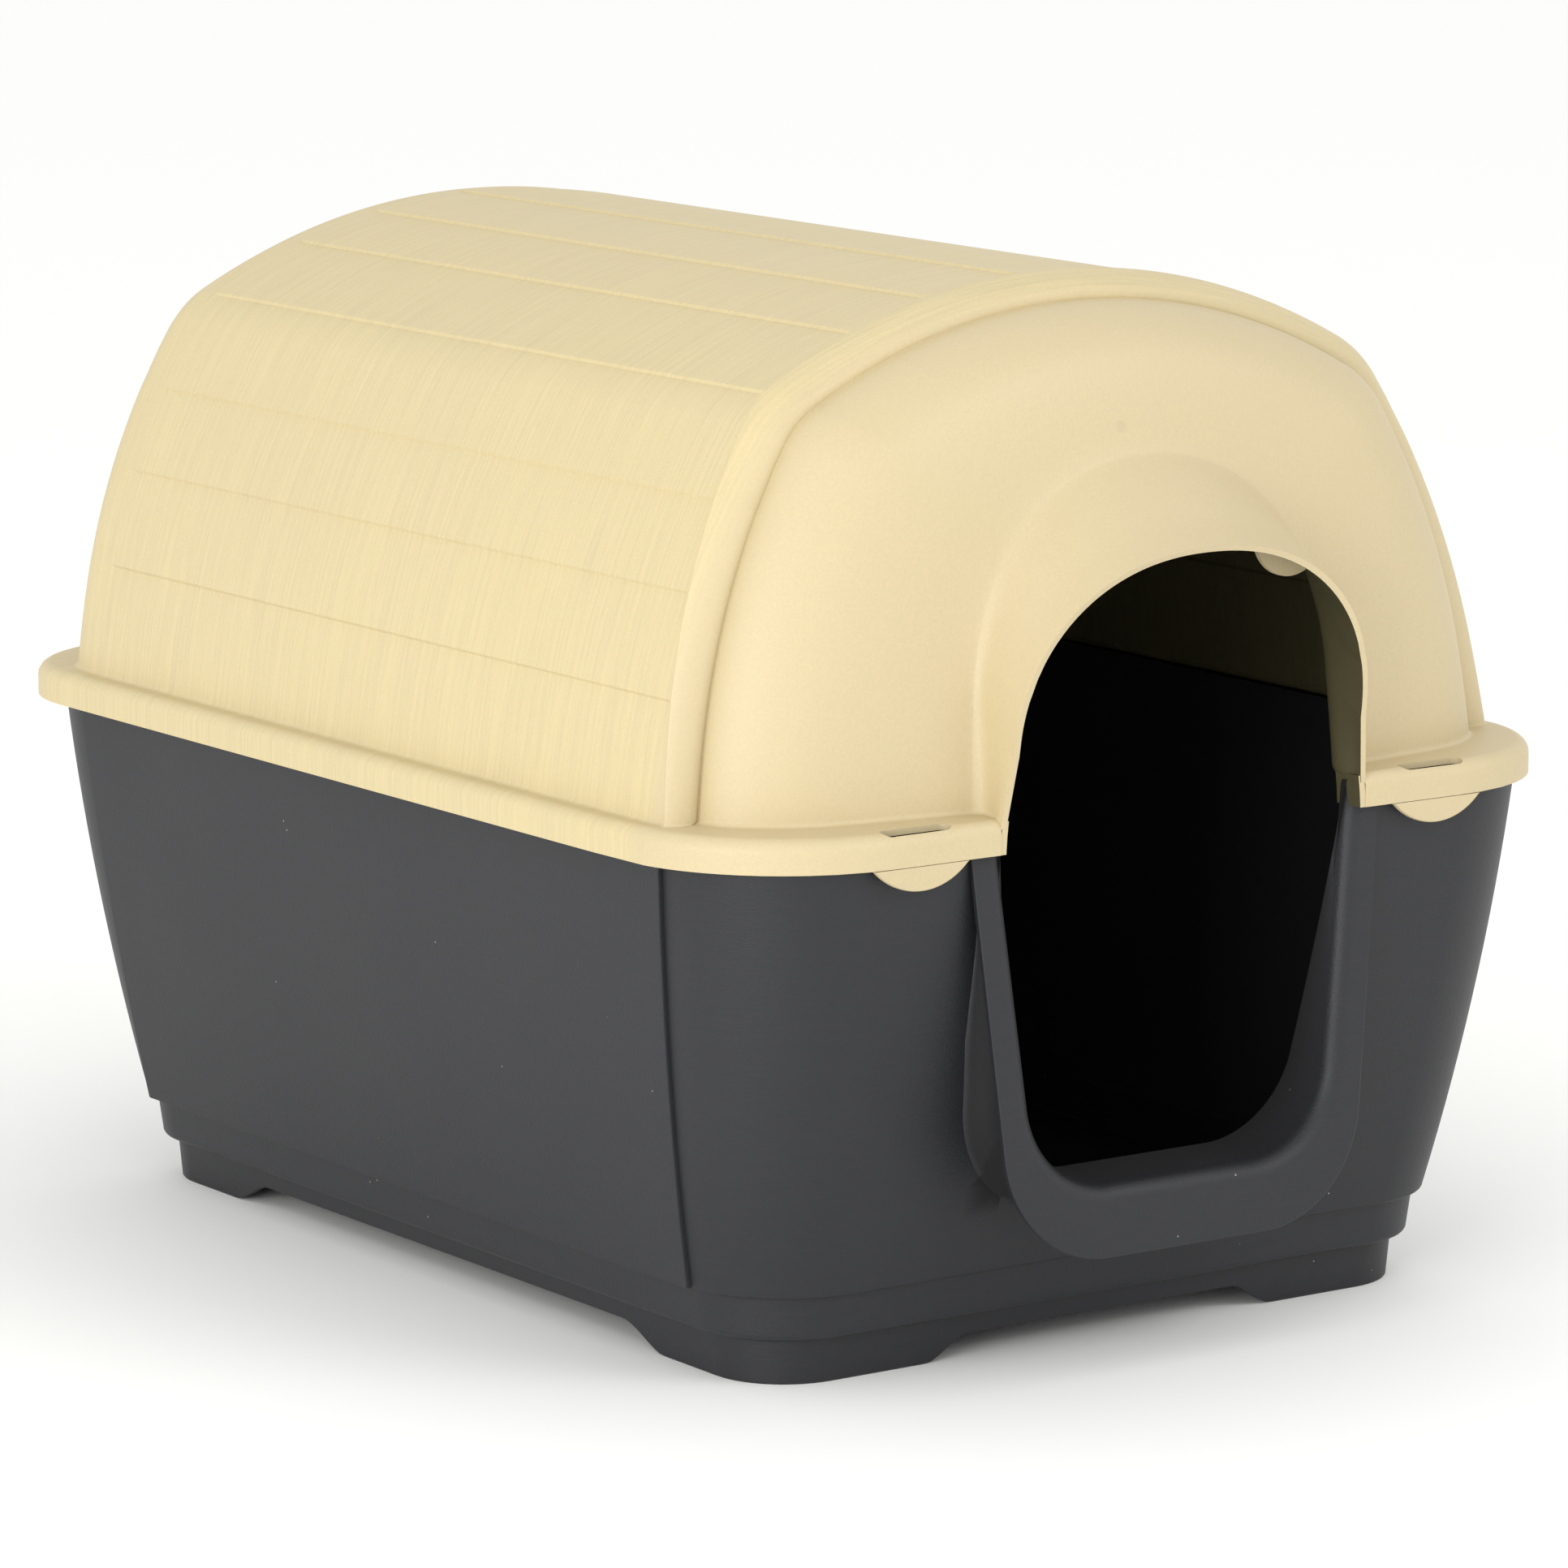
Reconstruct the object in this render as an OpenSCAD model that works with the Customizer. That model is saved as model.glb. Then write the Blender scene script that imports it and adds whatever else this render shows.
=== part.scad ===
// Animal shelter of two mouldings: a barrel roof that drops over the rim of a tapered tub.
// +Z is up, the doorway faces -Y, and the origin lies on the ground under the middle of the box.
// Millimetres.

/* [Overall] */
// Width over the roof's skirt
roof_w = 520; // [430:1:630]
// Length over the roof's skirt, front to back
roof_l = 702; // [590:1:850]
// Height of the crown above the ground
crown_z = 513.2; // [480:0.1:560]
// Thickness of every moulded wall
wall = 3; // [2:0.5:4]
// Gap left between the two mouldings where they meet
seat_gap = 0.3; // [0.2:0.1:0.6]

/* [Roof shelf and skirt] */
// Height of the skirt's lower edge
skirt_z = 258; // [230:1:262]
// Height of the shelf's upper face
shelf_z = 274.5; // [272:0.5:290]
// Radius of the shelf's back corners, seen from above
shelf_r = 82; // [60:1:100]
// Radius of the shelf's front corners, seen from above
shelf_front_r = 90; // [60:1:91]
// Radius of the shelf's rounded upper edge
shelf_edge_r = 7; // [3:0.5:9]
// Distance that the skirt's middle lies behind the origin
shelf_shift = 9; // [5:0.5:14]

/* [Roof barrel] */
// Width of the shelf outside the barrel, on each side
shelf_side = 15.5; // [13:0.5:28]
// Distance from the skirt's front face back to the front end of the boards, at the shelf
boards_setback = 77.8; // [60:0.1:100]
// How far the front end of the boards leans back at the crown
boards_lean = 30.3; // [10:0.1:40]
// Distance from the skirt's back face forward to the barrel's back end
barrel_setback = 27; // [15:0.5:60]
// Length of the rounded back end
back_round = 60; // [40:1:105]
// How far the rounded back end closes in from each side
back_side = 90; // [50:1:120]
// How far the rounded back end comes down from the crown
back_crown = 135; // [80:1:160]
// How far one board stands over the next
lap = 1.2; // [0.6:0.1:2]
// Depth of the step from the collar in to the front cap, at the shelf
cap_side_step = 15.9; // [10:0.1:20]
// Depth of the step from the collar down to the front cap, at the crown
cap_crown_step = 10.6; // [6:0.1:16]
// How far the front cap leans back at the crown
cap_lean = 11.3; // [0:0.1:20]
// Distance from the skirt's front face back to the foot of the valley round the hood
valley_setback = 17; // [12:0.5:30]
// How far the valley leans back, for the height from shelf to crown
valley_lean = 20; // [0:0.5:30]
// Height of the valley's top
valley_top_z = 431; // [415:1:445]

/* [Doorway] */
// Half width of the arch at its springing
arch_half = 102; // [85:1:108]
// Half width of the doorway at the skirt's lower edge
door_foot_half = 106; // [102:1:109]
// Height of the arch's springing
arch_spring_z = 305; // [295:1:315]
// Height of the arch's top
arch_top_z = 393; // [370:1:400]
// Distance of the lip behind the skirt's front face, at the skirt
lip_setback = 0.5; // [0:0.5:4]
// How far the lip leans forward at the top of the arch
lip_lean = 18; // [0:0.5:24]
// Radius of the two flap lugs
lug_r = 21; // [12:0.5:24]

/* [Latch tabs] */
// Distance of a tab's middle from the centre line
tab_x = 154; // [145:0.5:165]
// Width of a tab
tab_w = 54.4; // [40:0.2:60]
// Height of a tab below the skirt
tab_h = 12; // [8:0.5:20]
// Length of the slot above a tab
slot_l = 39; // [25:0.5:45]
// Width of the slot above a tab
slot_w = 8; // [5:0.5:10]

/* [Base tub] */
// Distance from the skirt's face in to the tub's side walls
side_reach = 15; // [13:0.5:40]
// Distance from the skirt's face in to the tub's end walls, on average
end_reach = 11; // [9:0.5:40]
// Inward lean of the side walls, from the skirt to the plinth
side_taper = 28; // [10:0.5:34]
// Inward lean of the end walls, from the skirt to the plinth
end_taper = 39; // [10:0.5:46]
// Distance that the tub's middle lies behind the origin
tub_shift = 6; // [3:0.5:10]
// Radius of the tub's corners at the skirt
tub_r = 67; // [50:1:80]
// Height of the edge between the walls and the plinth
plinth_z = 45.5; // [40:0.5:60]
// Height of the edge between the plinth and the feet
foot_z = 23; // [18:0.5:30]
// Step in from the walls to the plinth
plinth_step = 5; // [2:0.5:8]
// Step in from the plinth to the feet
foot_step = 8; // [4:0.5:10]
// Height of the floor's upper face
floor_z = 17.5; // [16:0.5:30]
// Height of the arches between the feet
foot_arch = 12.3; // [8:0.1:14]
// Length of each foot along the sides and the ends
foot_l = 88; // [60:1:110]
// How far the side panels stand proud of the walls
panel_proud = 2.5; // [1:0.5:4]
// Gap between the rim and the inside of the skirt
rim_gap = 1.5; // [1:0.5:3]

/* [Doorway ring] */
// Half width of the ring's opening at the top of the tub
ring_half = 112; // [100:1:115]
// Height of the sill's upper edge
sill_z = 84.3; // [70:0.5:110]
// Radius of the opening's lower corners
ring_r = 55; // [35:1:70]
// Width of the ring's face at the top
ring_face_top = 10; // [6:0.5:14]
// Height of the ring's face under the sill
ring_face_sill = 26.5; // [15:0.5:34]
// Distance of the ring's face behind the skirt's front face, at the skirt
ring_setback = 6; // [4:0.5:8]
// How far the ring's foot stands forward of its top
ring_lean = 10; // [0:0.5:14]
// How far the neck behind the ring closes in
neck_taper = 9; // [4:0.5:12]

/* [Hidden] */

roof_colour = [0.90, 0.84, 0.66];
base_colour = [0.24, 0.245, 0.26];
corner_steps = 8;
// Heights and sizes that follow from the driving ones
shelf_under_z = shelf_z - wall;
rim_z = shelf_under_z - seat_gap;
barrel_half = roof_w / 2 - shelf_side;
skirt_front = roof_l / 2 - shelf_shift;
skirt_back = roof_l / 2 + shelf_shift;
boards_front = skirt_front - boards_setback;
barrel_back = skirt_back - barrel_setback;
lip_front = skirt_front - lip_setback;
tub_w = roof_w - 2 * side_reach;
tub_l = roof_l - 2 * end_reach;
ring_front = skirt_front - ring_setback;
through = 40;
sink = 4;

// ---------------------------------------------------------------- shared shapes

// Solid skin over a list of closed sections that all have the same number of points.
module loft(sections) {
    n = len(sections[0]);
    m = len(sections);
    points = [for (s = sections) each s];
    sides = [for (j = [0:m - 2], i = [0:n - 1])
        let (a = j * n + i, b = j * n + (i + 1) % n)
        each [[a, a + n, b + n], [a, b + n, b]]];
    first = [[for (i = [0:n - 1]) i]];
    last = [[for (i = [n - 1:-1:0]) (m - 1) * n + i]];
    polyhedron(points, concat(first, sides, last), convexity = 10);
}

// Rounded rectangle at height z, anticlockwise from above, with its own radius at the front.
function round_rect(half_x, half_y, back_r, front_r, shift, z) = [
    for (c = [0:3], k = [0:corner_steps])
    let (
        sx = (c == 0 || c == 3) ? 1 : -1,
        sy = (c < 2) ? 1 : -1,
        r = (c < 2) ? back_r : front_r,
        a = 90 * c + 90 * k / corner_steps
    )
    [sx * (half_x - r) + r * cos(a), shift + sy * (half_y - r) + r * sin(a), z]];

// ---------------------------------------------------------------- roof

// Half outline of the barrel as tangent arcs, from the crown down.
crown_r = 349.7;
shoulder_r = 54.3;
upper_side_r = 371.1;
lower_side_r = 1017.7;
crown_end = 61.53;
shoulder_end = 32.33;
side_end = 8;
// Angles of the outline's normal at the seams between the boards.
board_seams = [87, 78, 70.1, 56.2, 26.9, 19.9, 12.1];

crown_c = [0, crown_z - crown_r];
shoulder_c = crown_c + (crown_r - shoulder_r) * [cos(crown_end), sin(crown_end)];
upper_c = shoulder_c + (shoulder_r - upper_side_r) * [cos(shoulder_end), sin(shoulder_end)];
lower_c = upper_c + (upper_side_r - lower_side_r) * [cos(side_end), sin(side_end)];
foot_end = asin((shelf_z - lower_c[1]) / lower_side_r);
// The arcs give this half width at the foot, and the outline is then fitted to the shelf.
arc_half = lower_c[0] + lower_side_r * cos(foot_end);

function arc_point(a, out) =
    let (
        c = a > crown_end ? crown_c : a > shoulder_end ? shoulder_c : a > side_end ? upper_c : lower_c,
        r = a > crown_end ? crown_r : a > shoulder_end ? shoulder_r : a > side_end ? upper_side_r : lower_side_r,
        fit = barrel_half / arc_half
    )
    [(c[0] + (r + out) * cos(a)) * fit, c[1] + (r + out) * sin(a)];

// Half outline, crown to foot, as [angle, share of the lap]. Each seam is a pair of points, lip first.
lip_angle = 0.35;
board_steps = 3;
board_ends = concat([90], board_seams, [foot_end]);
half_outline = concat(
    [[90, 0]],
    [for (i = [0:len(board_seams)])
        each concat(
            i == 0 ? [] : [[board_ends[i] - lip_angle, 0]],
            [for (k = [1:board_steps])
                [board_ends[i] + (board_ends[i + 1] - board_ends[i]) * k / board_steps, k / board_steps]]
        )]
);

// Plain half outline for the inside, where the boards don't show.
function angles(from, to, steps) = [for (k = [1:steps]) [from + (to - from) * k / steps, 0]];
plain_outline = concat([[90, 0]], angles(90, crown_end, 5), angles(crown_end, shoulder_end, 4),
    angles(shoulder_end, side_end, 3), angles(side_end, foot_end, 2));

// Share of the outline's length at each of its points.
function share_along(rows) =
    let (
        points = [for (r = rows) arc_point(r[0], 0)],
        steps = [for (i = [1:len(points) - 1]) norm(points[i] - points[i - 1])],
        run = [for (i = 0, l = 0; i < len(points); l = l + (i < len(steps) ? steps[i] : 0), i = i + 1) l]
    )
    [for (l = run) l / run[len(run) - 1]];

half_shares = share_along(half_outline);
plain_shares = share_along(plain_outline);

// Point of an arch at a share of its length from the top: a squared round head, then a straight leg.
head_share = 0.72;
head_power = 2.2;
function arch_point(share, half, foot_half, spring, top, foot_z) =
    let (
        u = 90 * (1 - min(share / head_share, 1)),
        leg = max(0, (share - head_share) / (1 - head_share))
    )
    [half * pow(cos(u), 2 / head_power) + (foot_half - half) * leg,
     spring + (top - spring) * pow(sin(u), 2 / head_power) + (foot_z - spring) * leg];

// Half width of the doorway at height z, below the arch's springing.
function door_half(z) =
    arch_half + (door_foot_half - arch_half) * (arch_spring_z - z) / (arch_spring_z - skirt_z);

valley_spring_z = 318;
function valley_point(share, inset) =
    arch_point(share, arch_half + wall - inset, door_half(shelf_z) + wall - inset,
        valley_spring_z, valley_top_z - inset, shelf_z);
function lip_point(share, inset) =
    arch_point(share, arch_half + wall - inset, door_half(shelf_z) + wall - inset,
        arch_spring_z, arch_top_z + wall - inset, shelf_z);
function lip_y(z) = -(lip_front + lip_lean * (z - skirt_z) / (arch_top_z - skirt_z));

// Closes half a section, given crown to foot as [x, y, z]: a foot inside the shelf, and a mirrored half.
function whole_section(right, inner) =
    let (
        last = right[len(right) - 1],
        side = concat(right, [[last[0], last[1], shelf_under_z + (inner ? -sink : sink / 4)]])
    )
    concat([for (i = [len(side) - 1:-1:1]) side[i]], [for (p = side) [-p[0], p[1], p[2]]]);

// Half a section of the skin at a station.
function half_section(s, inner) =
    let (
        rows = inner ? plain_outline : half_outline,
        shares = inner ? plain_shares : half_shares,
        rise = crown_z - shelf_z
    )
    [for (i = [0:len(rows) - 1])
        let (
            p = arc_point(rows[i][0], lap * s[3] * rows[i][1] + s[5]),
            x = p[0] * (1 - s[1] / barrel_half),
            z = shelf_z + (p[1] - shelf_z) * (1 - s[2] / rise),
            goal = valley_point(shares[i], inner ? wall : 0),
            on_x = x + (goal[0] - x) * s[6],
            on_z = z + (goal[1] - z) * s[6]
        )
        [on_x, s[0] + s[4] * (on_z - shelf_z) / rise, on_z]];

// Half a section of the hood, at a share of the way from the valley to the lip.
hood_sag = 3.5;
function hood_half(share_out, inner) =
    let (
        valley = half_section(valley_station(inner), inner),
        shares = inner ? plain_shares : half_shares
    )
    [for (i = [0:len(valley) - 1])
        let (
            lip = lip_point(shares[i], inner ? wall : 0),
            sag = hood_sag * sin(180 * share_out) * max(0, lip[1] - arch_spring_z) / (arch_top_z - arch_spring_z)
        )
        valley[i] + ([lip[0], lip_y(lip[1]), lip[1]] - valley[i]) * share_out - [0, 0, sag]];

// Collar round the front end of the boards, as [distance ahead, inset at the side, inset at the crown,
// lap, lean, bead]: a rounded bead, then the crease before the cap.
collar = [
    [0, 0, 0, 1, boards_lean, 0],
    [0.6, 0, 0, 0, boards_lean, 1.2],
    [3.2, 1, 0.4, 0, boards_lean - 5, 1.6],
    [5.2, cap_side_step * 0.45, cap_crown_step * 0.3, 0, boards_lean - 11, 0.8],
    [5, cap_side_step * 0.8, cap_crown_step * 0.7, 0, cap_lean + 2.5, 0],
    [2.6, cap_side_step, cap_crown_step, 0, cap_lean, 0]
];
inner_collar = [
    [0.2, wall, wall, 0, boards_lean, 0],
    [1.2, cap_side_step / 2, cap_crown_step / 2, 0, boards_lean - 12, 0],
    [-0.9, cap_side_step + wall, cap_crown_step + wall, 0, cap_lean, 0]
];

// Part of the way in to the valley over which the cap turns, and how far forward the turn brings it.
cap_turn = 0.55;
cap_turn_forward = 0.62;
cap_steps = 7;
face_steps = 5;
morph_from = 0.25;
function ease(t) = let (u = min(max(t, 0), 1)) u * u * (3 - 2 * u);

// Station of the cap at a share of the way in from the crease to the valley.
function cap_station(share, inner) =
    let (
        t = inner ? wall : 0,
        round_part = sqrt(max(0, 1 - pow(1 - min(share / cap_turn, 1), 2))),
        forward = cap_turn_forward * round_part + (1 - cap_turn_forward) * share,
        from = boards_front + 3 - t,
        to = skirt_front - valley_setback - t
    )
    [-(from + (to - from) * forward),
     t + cap_side_step + (barrel_half - arch_half - wall - cap_side_step) * share,
     t + cap_crown_step + (crown_z - valley_top_z - cap_crown_step) * share,
     0, cap_lean + (valley_lean - cap_lean) * share, 0, ease((share - morph_from) / (1 - morph_from))];
function valley_station(inner) = cap_station(1, inner);

// Stations of the skin from the back end to the valley, each as [distance from the origin,
// inset at the side, inset at the crown, lap, lean, bead, share of the valley's outline].
back_steps = 6;
function stations(inner) =
    let (t = inner ? wall : 0)
    concat(
        [for (k = [back_steps:-1:0])
            let (a = 90 * k / back_steps)
            [barrel_back - t - (back_round - t) * (1 - sin(a)), t + (back_side - t) * (1 - cos(a)),
             t + (back_crown - t) * (1 - cos(a)), 0, 0, 0, 0]],
        inner ? [] : [[barrel_back - back_round - 2 * cap_side_step, 0, 0, 1, 0, 0, 0]],
        [for (c = inner ? inner_collar : collar)
            [-boards_front - c[0], c[1], c[2], c[3], c[4], c[5], 0]],
        [for (k = [1:cap_steps]) cap_station(cap_turn * (1 - cos(90 * k / cap_steps)), inner)],
        [for (k = [1:face_steps]) cap_station(cap_turn + (1 - cap_turn) * k / face_steps, inner)]
    );

hood_steps = 4;
module roof_skin(inner) {
    lip_half = hood_half(1, inner);
    loft(concat(
        [for (s = stations(inner)) whole_section(half_section(s, inner), inner)],
        [for (k = [1:hood_steps]) whole_section(hood_half(k / hood_steps, inner), inner)],
        inner ? [whole_section([for (p = lip_half) p - [0, through, 0]], inner)] : []
    ));
}

// The way through the hood: the doorway's arch, open below the skirt.
module hood_way() {
    head = [for (k = [0:16]) arch_point(head_share * k / 16, arch_half, arch_half,
        arch_spring_z, arch_top_z, arch_spring_z)];
    side = concat(head, [[door_foot_half, skirt_z], [door_foot_half, skirt_z - through]]);
    rotate([90, 0, 0])
    linear_extrude(lip_front + through)
    polygon(concat(side, [for (i = [len(side) - 1:-1:1]) [-side[i][0], side[i][1]]]));
}

module shelf_outside() {
    steps = 5;
    half_x = roof_w / 2;
    half_y = roof_l / 2;
    levels = concat(
        [[skirt_z, 0]],
        [for (k = [0:steps]) let (a = 90 * k / steps)
            [shelf_z - shelf_edge_r * (1 - sin(a)), shelf_edge_r * (1 - cos(a))]]
    );
    loft([for (v = levels)
        round_rect(half_x - v[1], half_y - v[1], shelf_r - v[1], shelf_front_r - v[1], shelf_shift, v[0])]);
}

module shelf_inside() {
    half_x = roof_w / 2 - wall;
    half_y = roof_l / 2 - wall;
    loft([for (z = [skirt_z - through, shelf_under_z])
        round_rect(half_x, half_y, shelf_r - wall, shelf_front_r - wall, shelf_shift, z)]);
}

module slot(x) {
    setback = 3.5;
    r = slot_w / 2;
    translate([x, -skirt_front + setback + r, shelf_under_z - 1])
    linear_extrude(wall + 2)
    union() {
        square([slot_l - slot_w, slot_w], center = true);
        for (s = [-1, 1]) translate([s * (slot_l - slot_w) / 2, 0]) circle(r, $fn = 32);
    }
}

// Ear of the front wall inside the top of the doorway, for hanging a flap.
lug_x = 71.5;
lug_z = 393;
lug_setback = 16;
module lug(side) {
    translate([side * lug_x, -lip_front + lug_setback, lug_z])
    rotate([90, 0, 0])
    cylinder(h = wall, r = lug_r, $fn = 48);
}

module roof() {
    color(roof_colour)
    difference() {
        union() {
            roof_skin(false);
            shelf_outside();
        }
        difference() {
            union() {
                roof_skin(true);
                shelf_inside();
            }
            for (side = [-1, 1]) lug(side);
            for (side = [-1, 1]) jamb(side);
        }
        difference() {
            hood_way();
            for (side = [-1, 1]) lug(side);
        }
        for (side = [-1, 1]) slot(side * tab_x);
    }
}

// Jamb beside the doorway behind the lip, from the shelf down to the skirt's lower edge.
reveal = 12;
module jamb(side) {
    top = shelf_z - 1;
    translate([0, -lip_front + reveal, 0])
    rotate([90, 0, 0])
    linear_extrude(reveal)
    polygon([for (p = [[door_half(skirt_z), skirt_z], [door_half(skirt_z) + wall, skirt_z],
        [door_half(top) + wall, top], [door_half(top), top]]) [side * p[0], p[1]]]);
}

// ---------------------------------------------------------------- latch tabs

module latch_tab(side) {
    top = skirt_z - seat_gap;
    r = (pow(tab_w / 2, 2) + pow(tab_h, 2)) / (2 * tab_h);
    color(roof_colour)
    translate([side * tab_x, -skirt_front + wall, 0])
    rotate([90, 0, 0])
    linear_extrude(wall)
    intersection() {
        translate([0, skirt_z - tab_h + r]) circle(r, $fn = 96);
        translate([-tab_w, top - 2 * tab_h]) square([2 * tab_w, 2 * tab_h]);
    }
}

module latch_tab_left() {
    latch_tab(-1);
}

module latch_tab_right() {
    latch_tab(1);
}

// ---------------------------------------------------------------- base

// Inset of the wall at height z, as a share of the taper: steeper near the top.
function lean_in(z) = let (t = (skirt_z - z) / (skirt_z - plinth_z)) 0.6 * t + 0.4 * t * abs(t);
function tub_x(z) = tub_w / 2 - side_taper * lean_in(z);
function tub_y(z) = tub_l / 2 - end_taper * lean_in(z);
function tub_corner(z) = tub_r - 10 * lean_in(z);

wall_levels = [for (k = [0:5]) plinth_z + (rim_z - plinth_z) * k / 5];
plinth_draft = 3;
foot_draft = 2;
edge = 3;

// Outline of the tub as [height, inset from the wall's foot], bottom to top.
lower_levels = [
    [0, plinth_step + plinth_draft + foot_step + foot_draft],
    [foot_z, plinth_step + plinth_draft + foot_step],
    [foot_z, plinth_step + plinth_draft + edge],
    [foot_z + edge, plinth_step + plinth_draft],
    [plinth_z, plinth_step]
];

function tub_section(z, inset) =
    let (zz = max(z, plinth_z))
    round_rect(tub_x(zz) - inset, tub_y(zz) - inset, tub_corner(zz) - inset, tub_corner(zz) - inset,
        tub_shift, z);

module tub_outside() {
    loft(concat(
        [for (v = lower_levels) tub_section(v[0], v[1])],
        [for (z = wall_levels) tub_section(z, 0)]
    ));
}

module tub_inside() {
    foot_in = plinth_step + plinth_draft + foot_step + wall;
    plinth_in = plinth_step + plinth_draft + wall;
    loft(concat(
        [tub_section(floor_z, foot_in), tub_section(foot_z + wall, foot_in),
         tub_section(foot_z + wall, plinth_in), tub_section(plinth_z + wall, plinth_in - plinth_draft)],
        [for (z = wall_levels) tub_section(max(z, plinth_z + wall), wall)],
        [tub_section(rim_z + through, wall)]
    ));
}

// The hollow under the floor.
module under_floor() {
    inset = lower_levels[0][1] + wall;
    loft([for (z = [-through, floor_z - wall]) tub_section(z, inset)]);
}

// Raised arch between two feet, with an S curve at each end.
module foot_arch_cut(length, depth) {
    sweep = 30;
    half = length / 2;
    curve = [for (k = [0:8]) [half - sweep * k / 8, foot_arch * (1 - cos(180 * k / 8)) / 2]];
    points = concat([[half, -through]], curve, [for (k = [8:-1:0]) [-curve[k][0], curve[k][1]]],
        [[-half, -through]]);
    rotate([90, 0, 0])
    translate([0, 0, -depth / 2])
    linear_extrude(depth)
    polygon(points);
}

// Turned-out rim that carries the roof's shelf and fills the skirt all round.
module rim() {
    in = wall + rim_gap;
    outer = round_rect(roof_w / 2 - in, roof_l / 2 - in, shelf_r - in, shelf_front_r - in, shelf_shift, rim_z);
    translate([0, 0, rim_z - wall])
    linear_extrude(wall)
    polygon([for (p = outer) [p[0], p[1]]]);
}

// Side panel that stands a little proud of the wall and follows its lean.
panel_top_half = tub_l / 2 - 69;
panel_foot_half = tub_l / 2 - 88;
panel_shift = 8.5;
module side_panel(side) {
    panel_sink = 1.5;
    top_z = rim_z - wall;
    levels = [for (k = [0:5]) plinth_z + (top_z - plinth_z) * k / 5];
    loft([for (z = side > 0 ? levels : [for (k = [5:-1:0]) levels[k]])
        let (
            t = (z - plinth_z) / (top_z - plinth_z),
            h = panel_foot_half + (panel_top_half - panel_foot_half) * t,
            out = tub_x(z) + panel_proud,
            inn = tub_x(z) - panel_sink
        )
        [[side * inn, panel_shift - h, z], [side * out, panel_shift - h, z],
         [side * out, panel_shift + h, z], [side * inn, panel_shift + h, z]]]);
}

// U-shaped outline with leaning sides and round lower corners, open at the top.
function u_outline(half_top, half_low, z_low, r, z_top) =
    let (
        lean = (half_top - half_low) / (skirt_z - z_low),
        stretch = sqrt(1 + lean * lean),
        cz = z_low + r,
        cx = half_low + lean * r - r * stretch,
        stop = 90 - atan(lean),
        right = concat(
            [for (k = [0:10]) let (a = -90 + stop * k / 10) [cx + r * cos(a), cz + r * sin(a)]],
            [[half_top + lean * (z_top - skirt_z), z_top]]
        )
    )
    concat(right, [for (i = [len(right) - 1:-1:0]) [-right[i][0], right[i][1]]]);

ring_low_half = 92.7;
neck_sill_rise = 6;
ring_foot_z = sill_z - ring_face_sill;
function ring_y(z) = -(ring_front + ring_lean * (skirt_z - z) / (skirt_z - ring_foot_z));

module u_loft(half_top, half_low, z_low, r, front, back, back_inset, z_top) {
    a = u_outline(half_top, half_low, z_low, r, z_top);
    b = u_outline(half_top - back_inset, half_low - back_inset, z_low + neck_sill_rise,
        r - back_inset / 2, z_top);
    loft([[for (p = b) [p[0], -back, p[1]]], [for (p = a) [p[0], ring_y(p[1]) + front, p[1]]]]);
}

neck_l = 51;
neck_back = ring_front - neck_l;
module neck_outside() {
    u_loft(ring_half + wall, ring_low_half + wall, sill_z - wall, ring_r + wall, 1, neck_back,
        neck_taper, rim_z);
}

module neck_inside() {
    u_loft(ring_half, ring_low_half, sill_z, ring_r, -1, neck_back - 6, neck_taper, rim_z + through);
    translate([-ring_half, -skirt_front - through, rim_z - 2 * wall])
    cube([2 * ring_half, 2 * through, through]);
}

// The flat face round the doorway.
module ring_face() {
    outer = u_outline(ring_half + ring_face_top, 101, ring_foot_z, ring_r + 5, rim_z);
    loft([[for (p = outer) [p[0], ring_y(p[1]) + wall, p[1]]],
        [for (p = outer) [p[0], ring_y(p[1]), p[1]]]]);
}

// Catch nub under the rim on each side, near the back. It shows just below the skirt.
nub_back = tub_l / 2 - 51;
nub_l = 9;
nub_drop = 1.5;
module rear_nub(side) {
    reach = roof_w / 2 - wall - 2 * rim_gap;
    root = tub_w / 2 - wall / 2;
    foot = skirt_z - nub_drop;
    translate([side * (reach + root) / 2, nub_back, (foot + rim_z - 1) / 2])
    cube([reach - root, nub_l, rim_z - 1 - foot], center = true);
}

module base() {
    side_len = 2 * (tub_y(plinth_z) - lower_levels[0][1]) - 2 * foot_l;
    end_len = 2 * (tub_x(plinth_z) - lower_levels[0][1]) - 2 * foot_l;
    color(base_colour)
    difference() {
        union() {
            tub_outside();
            rim();
            side_panel(-1);
            side_panel(1);
            rear_nub(-1);
            rear_nub(1);
            neck_outside();
            ring_face();
        }
        tub_inside();
        neck_inside();
        under_floor();
        translate([0, tub_shift, 0]) foot_arch_cut(end_len, 2 * tub_l);
        translate([0, tub_shift, 0]) rotate([0, 0, 90]) foot_arch_cut(side_len, 2 * tub_w);
    }
}

roof();
latch_tab_left();
latch_tab_right();
base();
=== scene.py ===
import math

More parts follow.
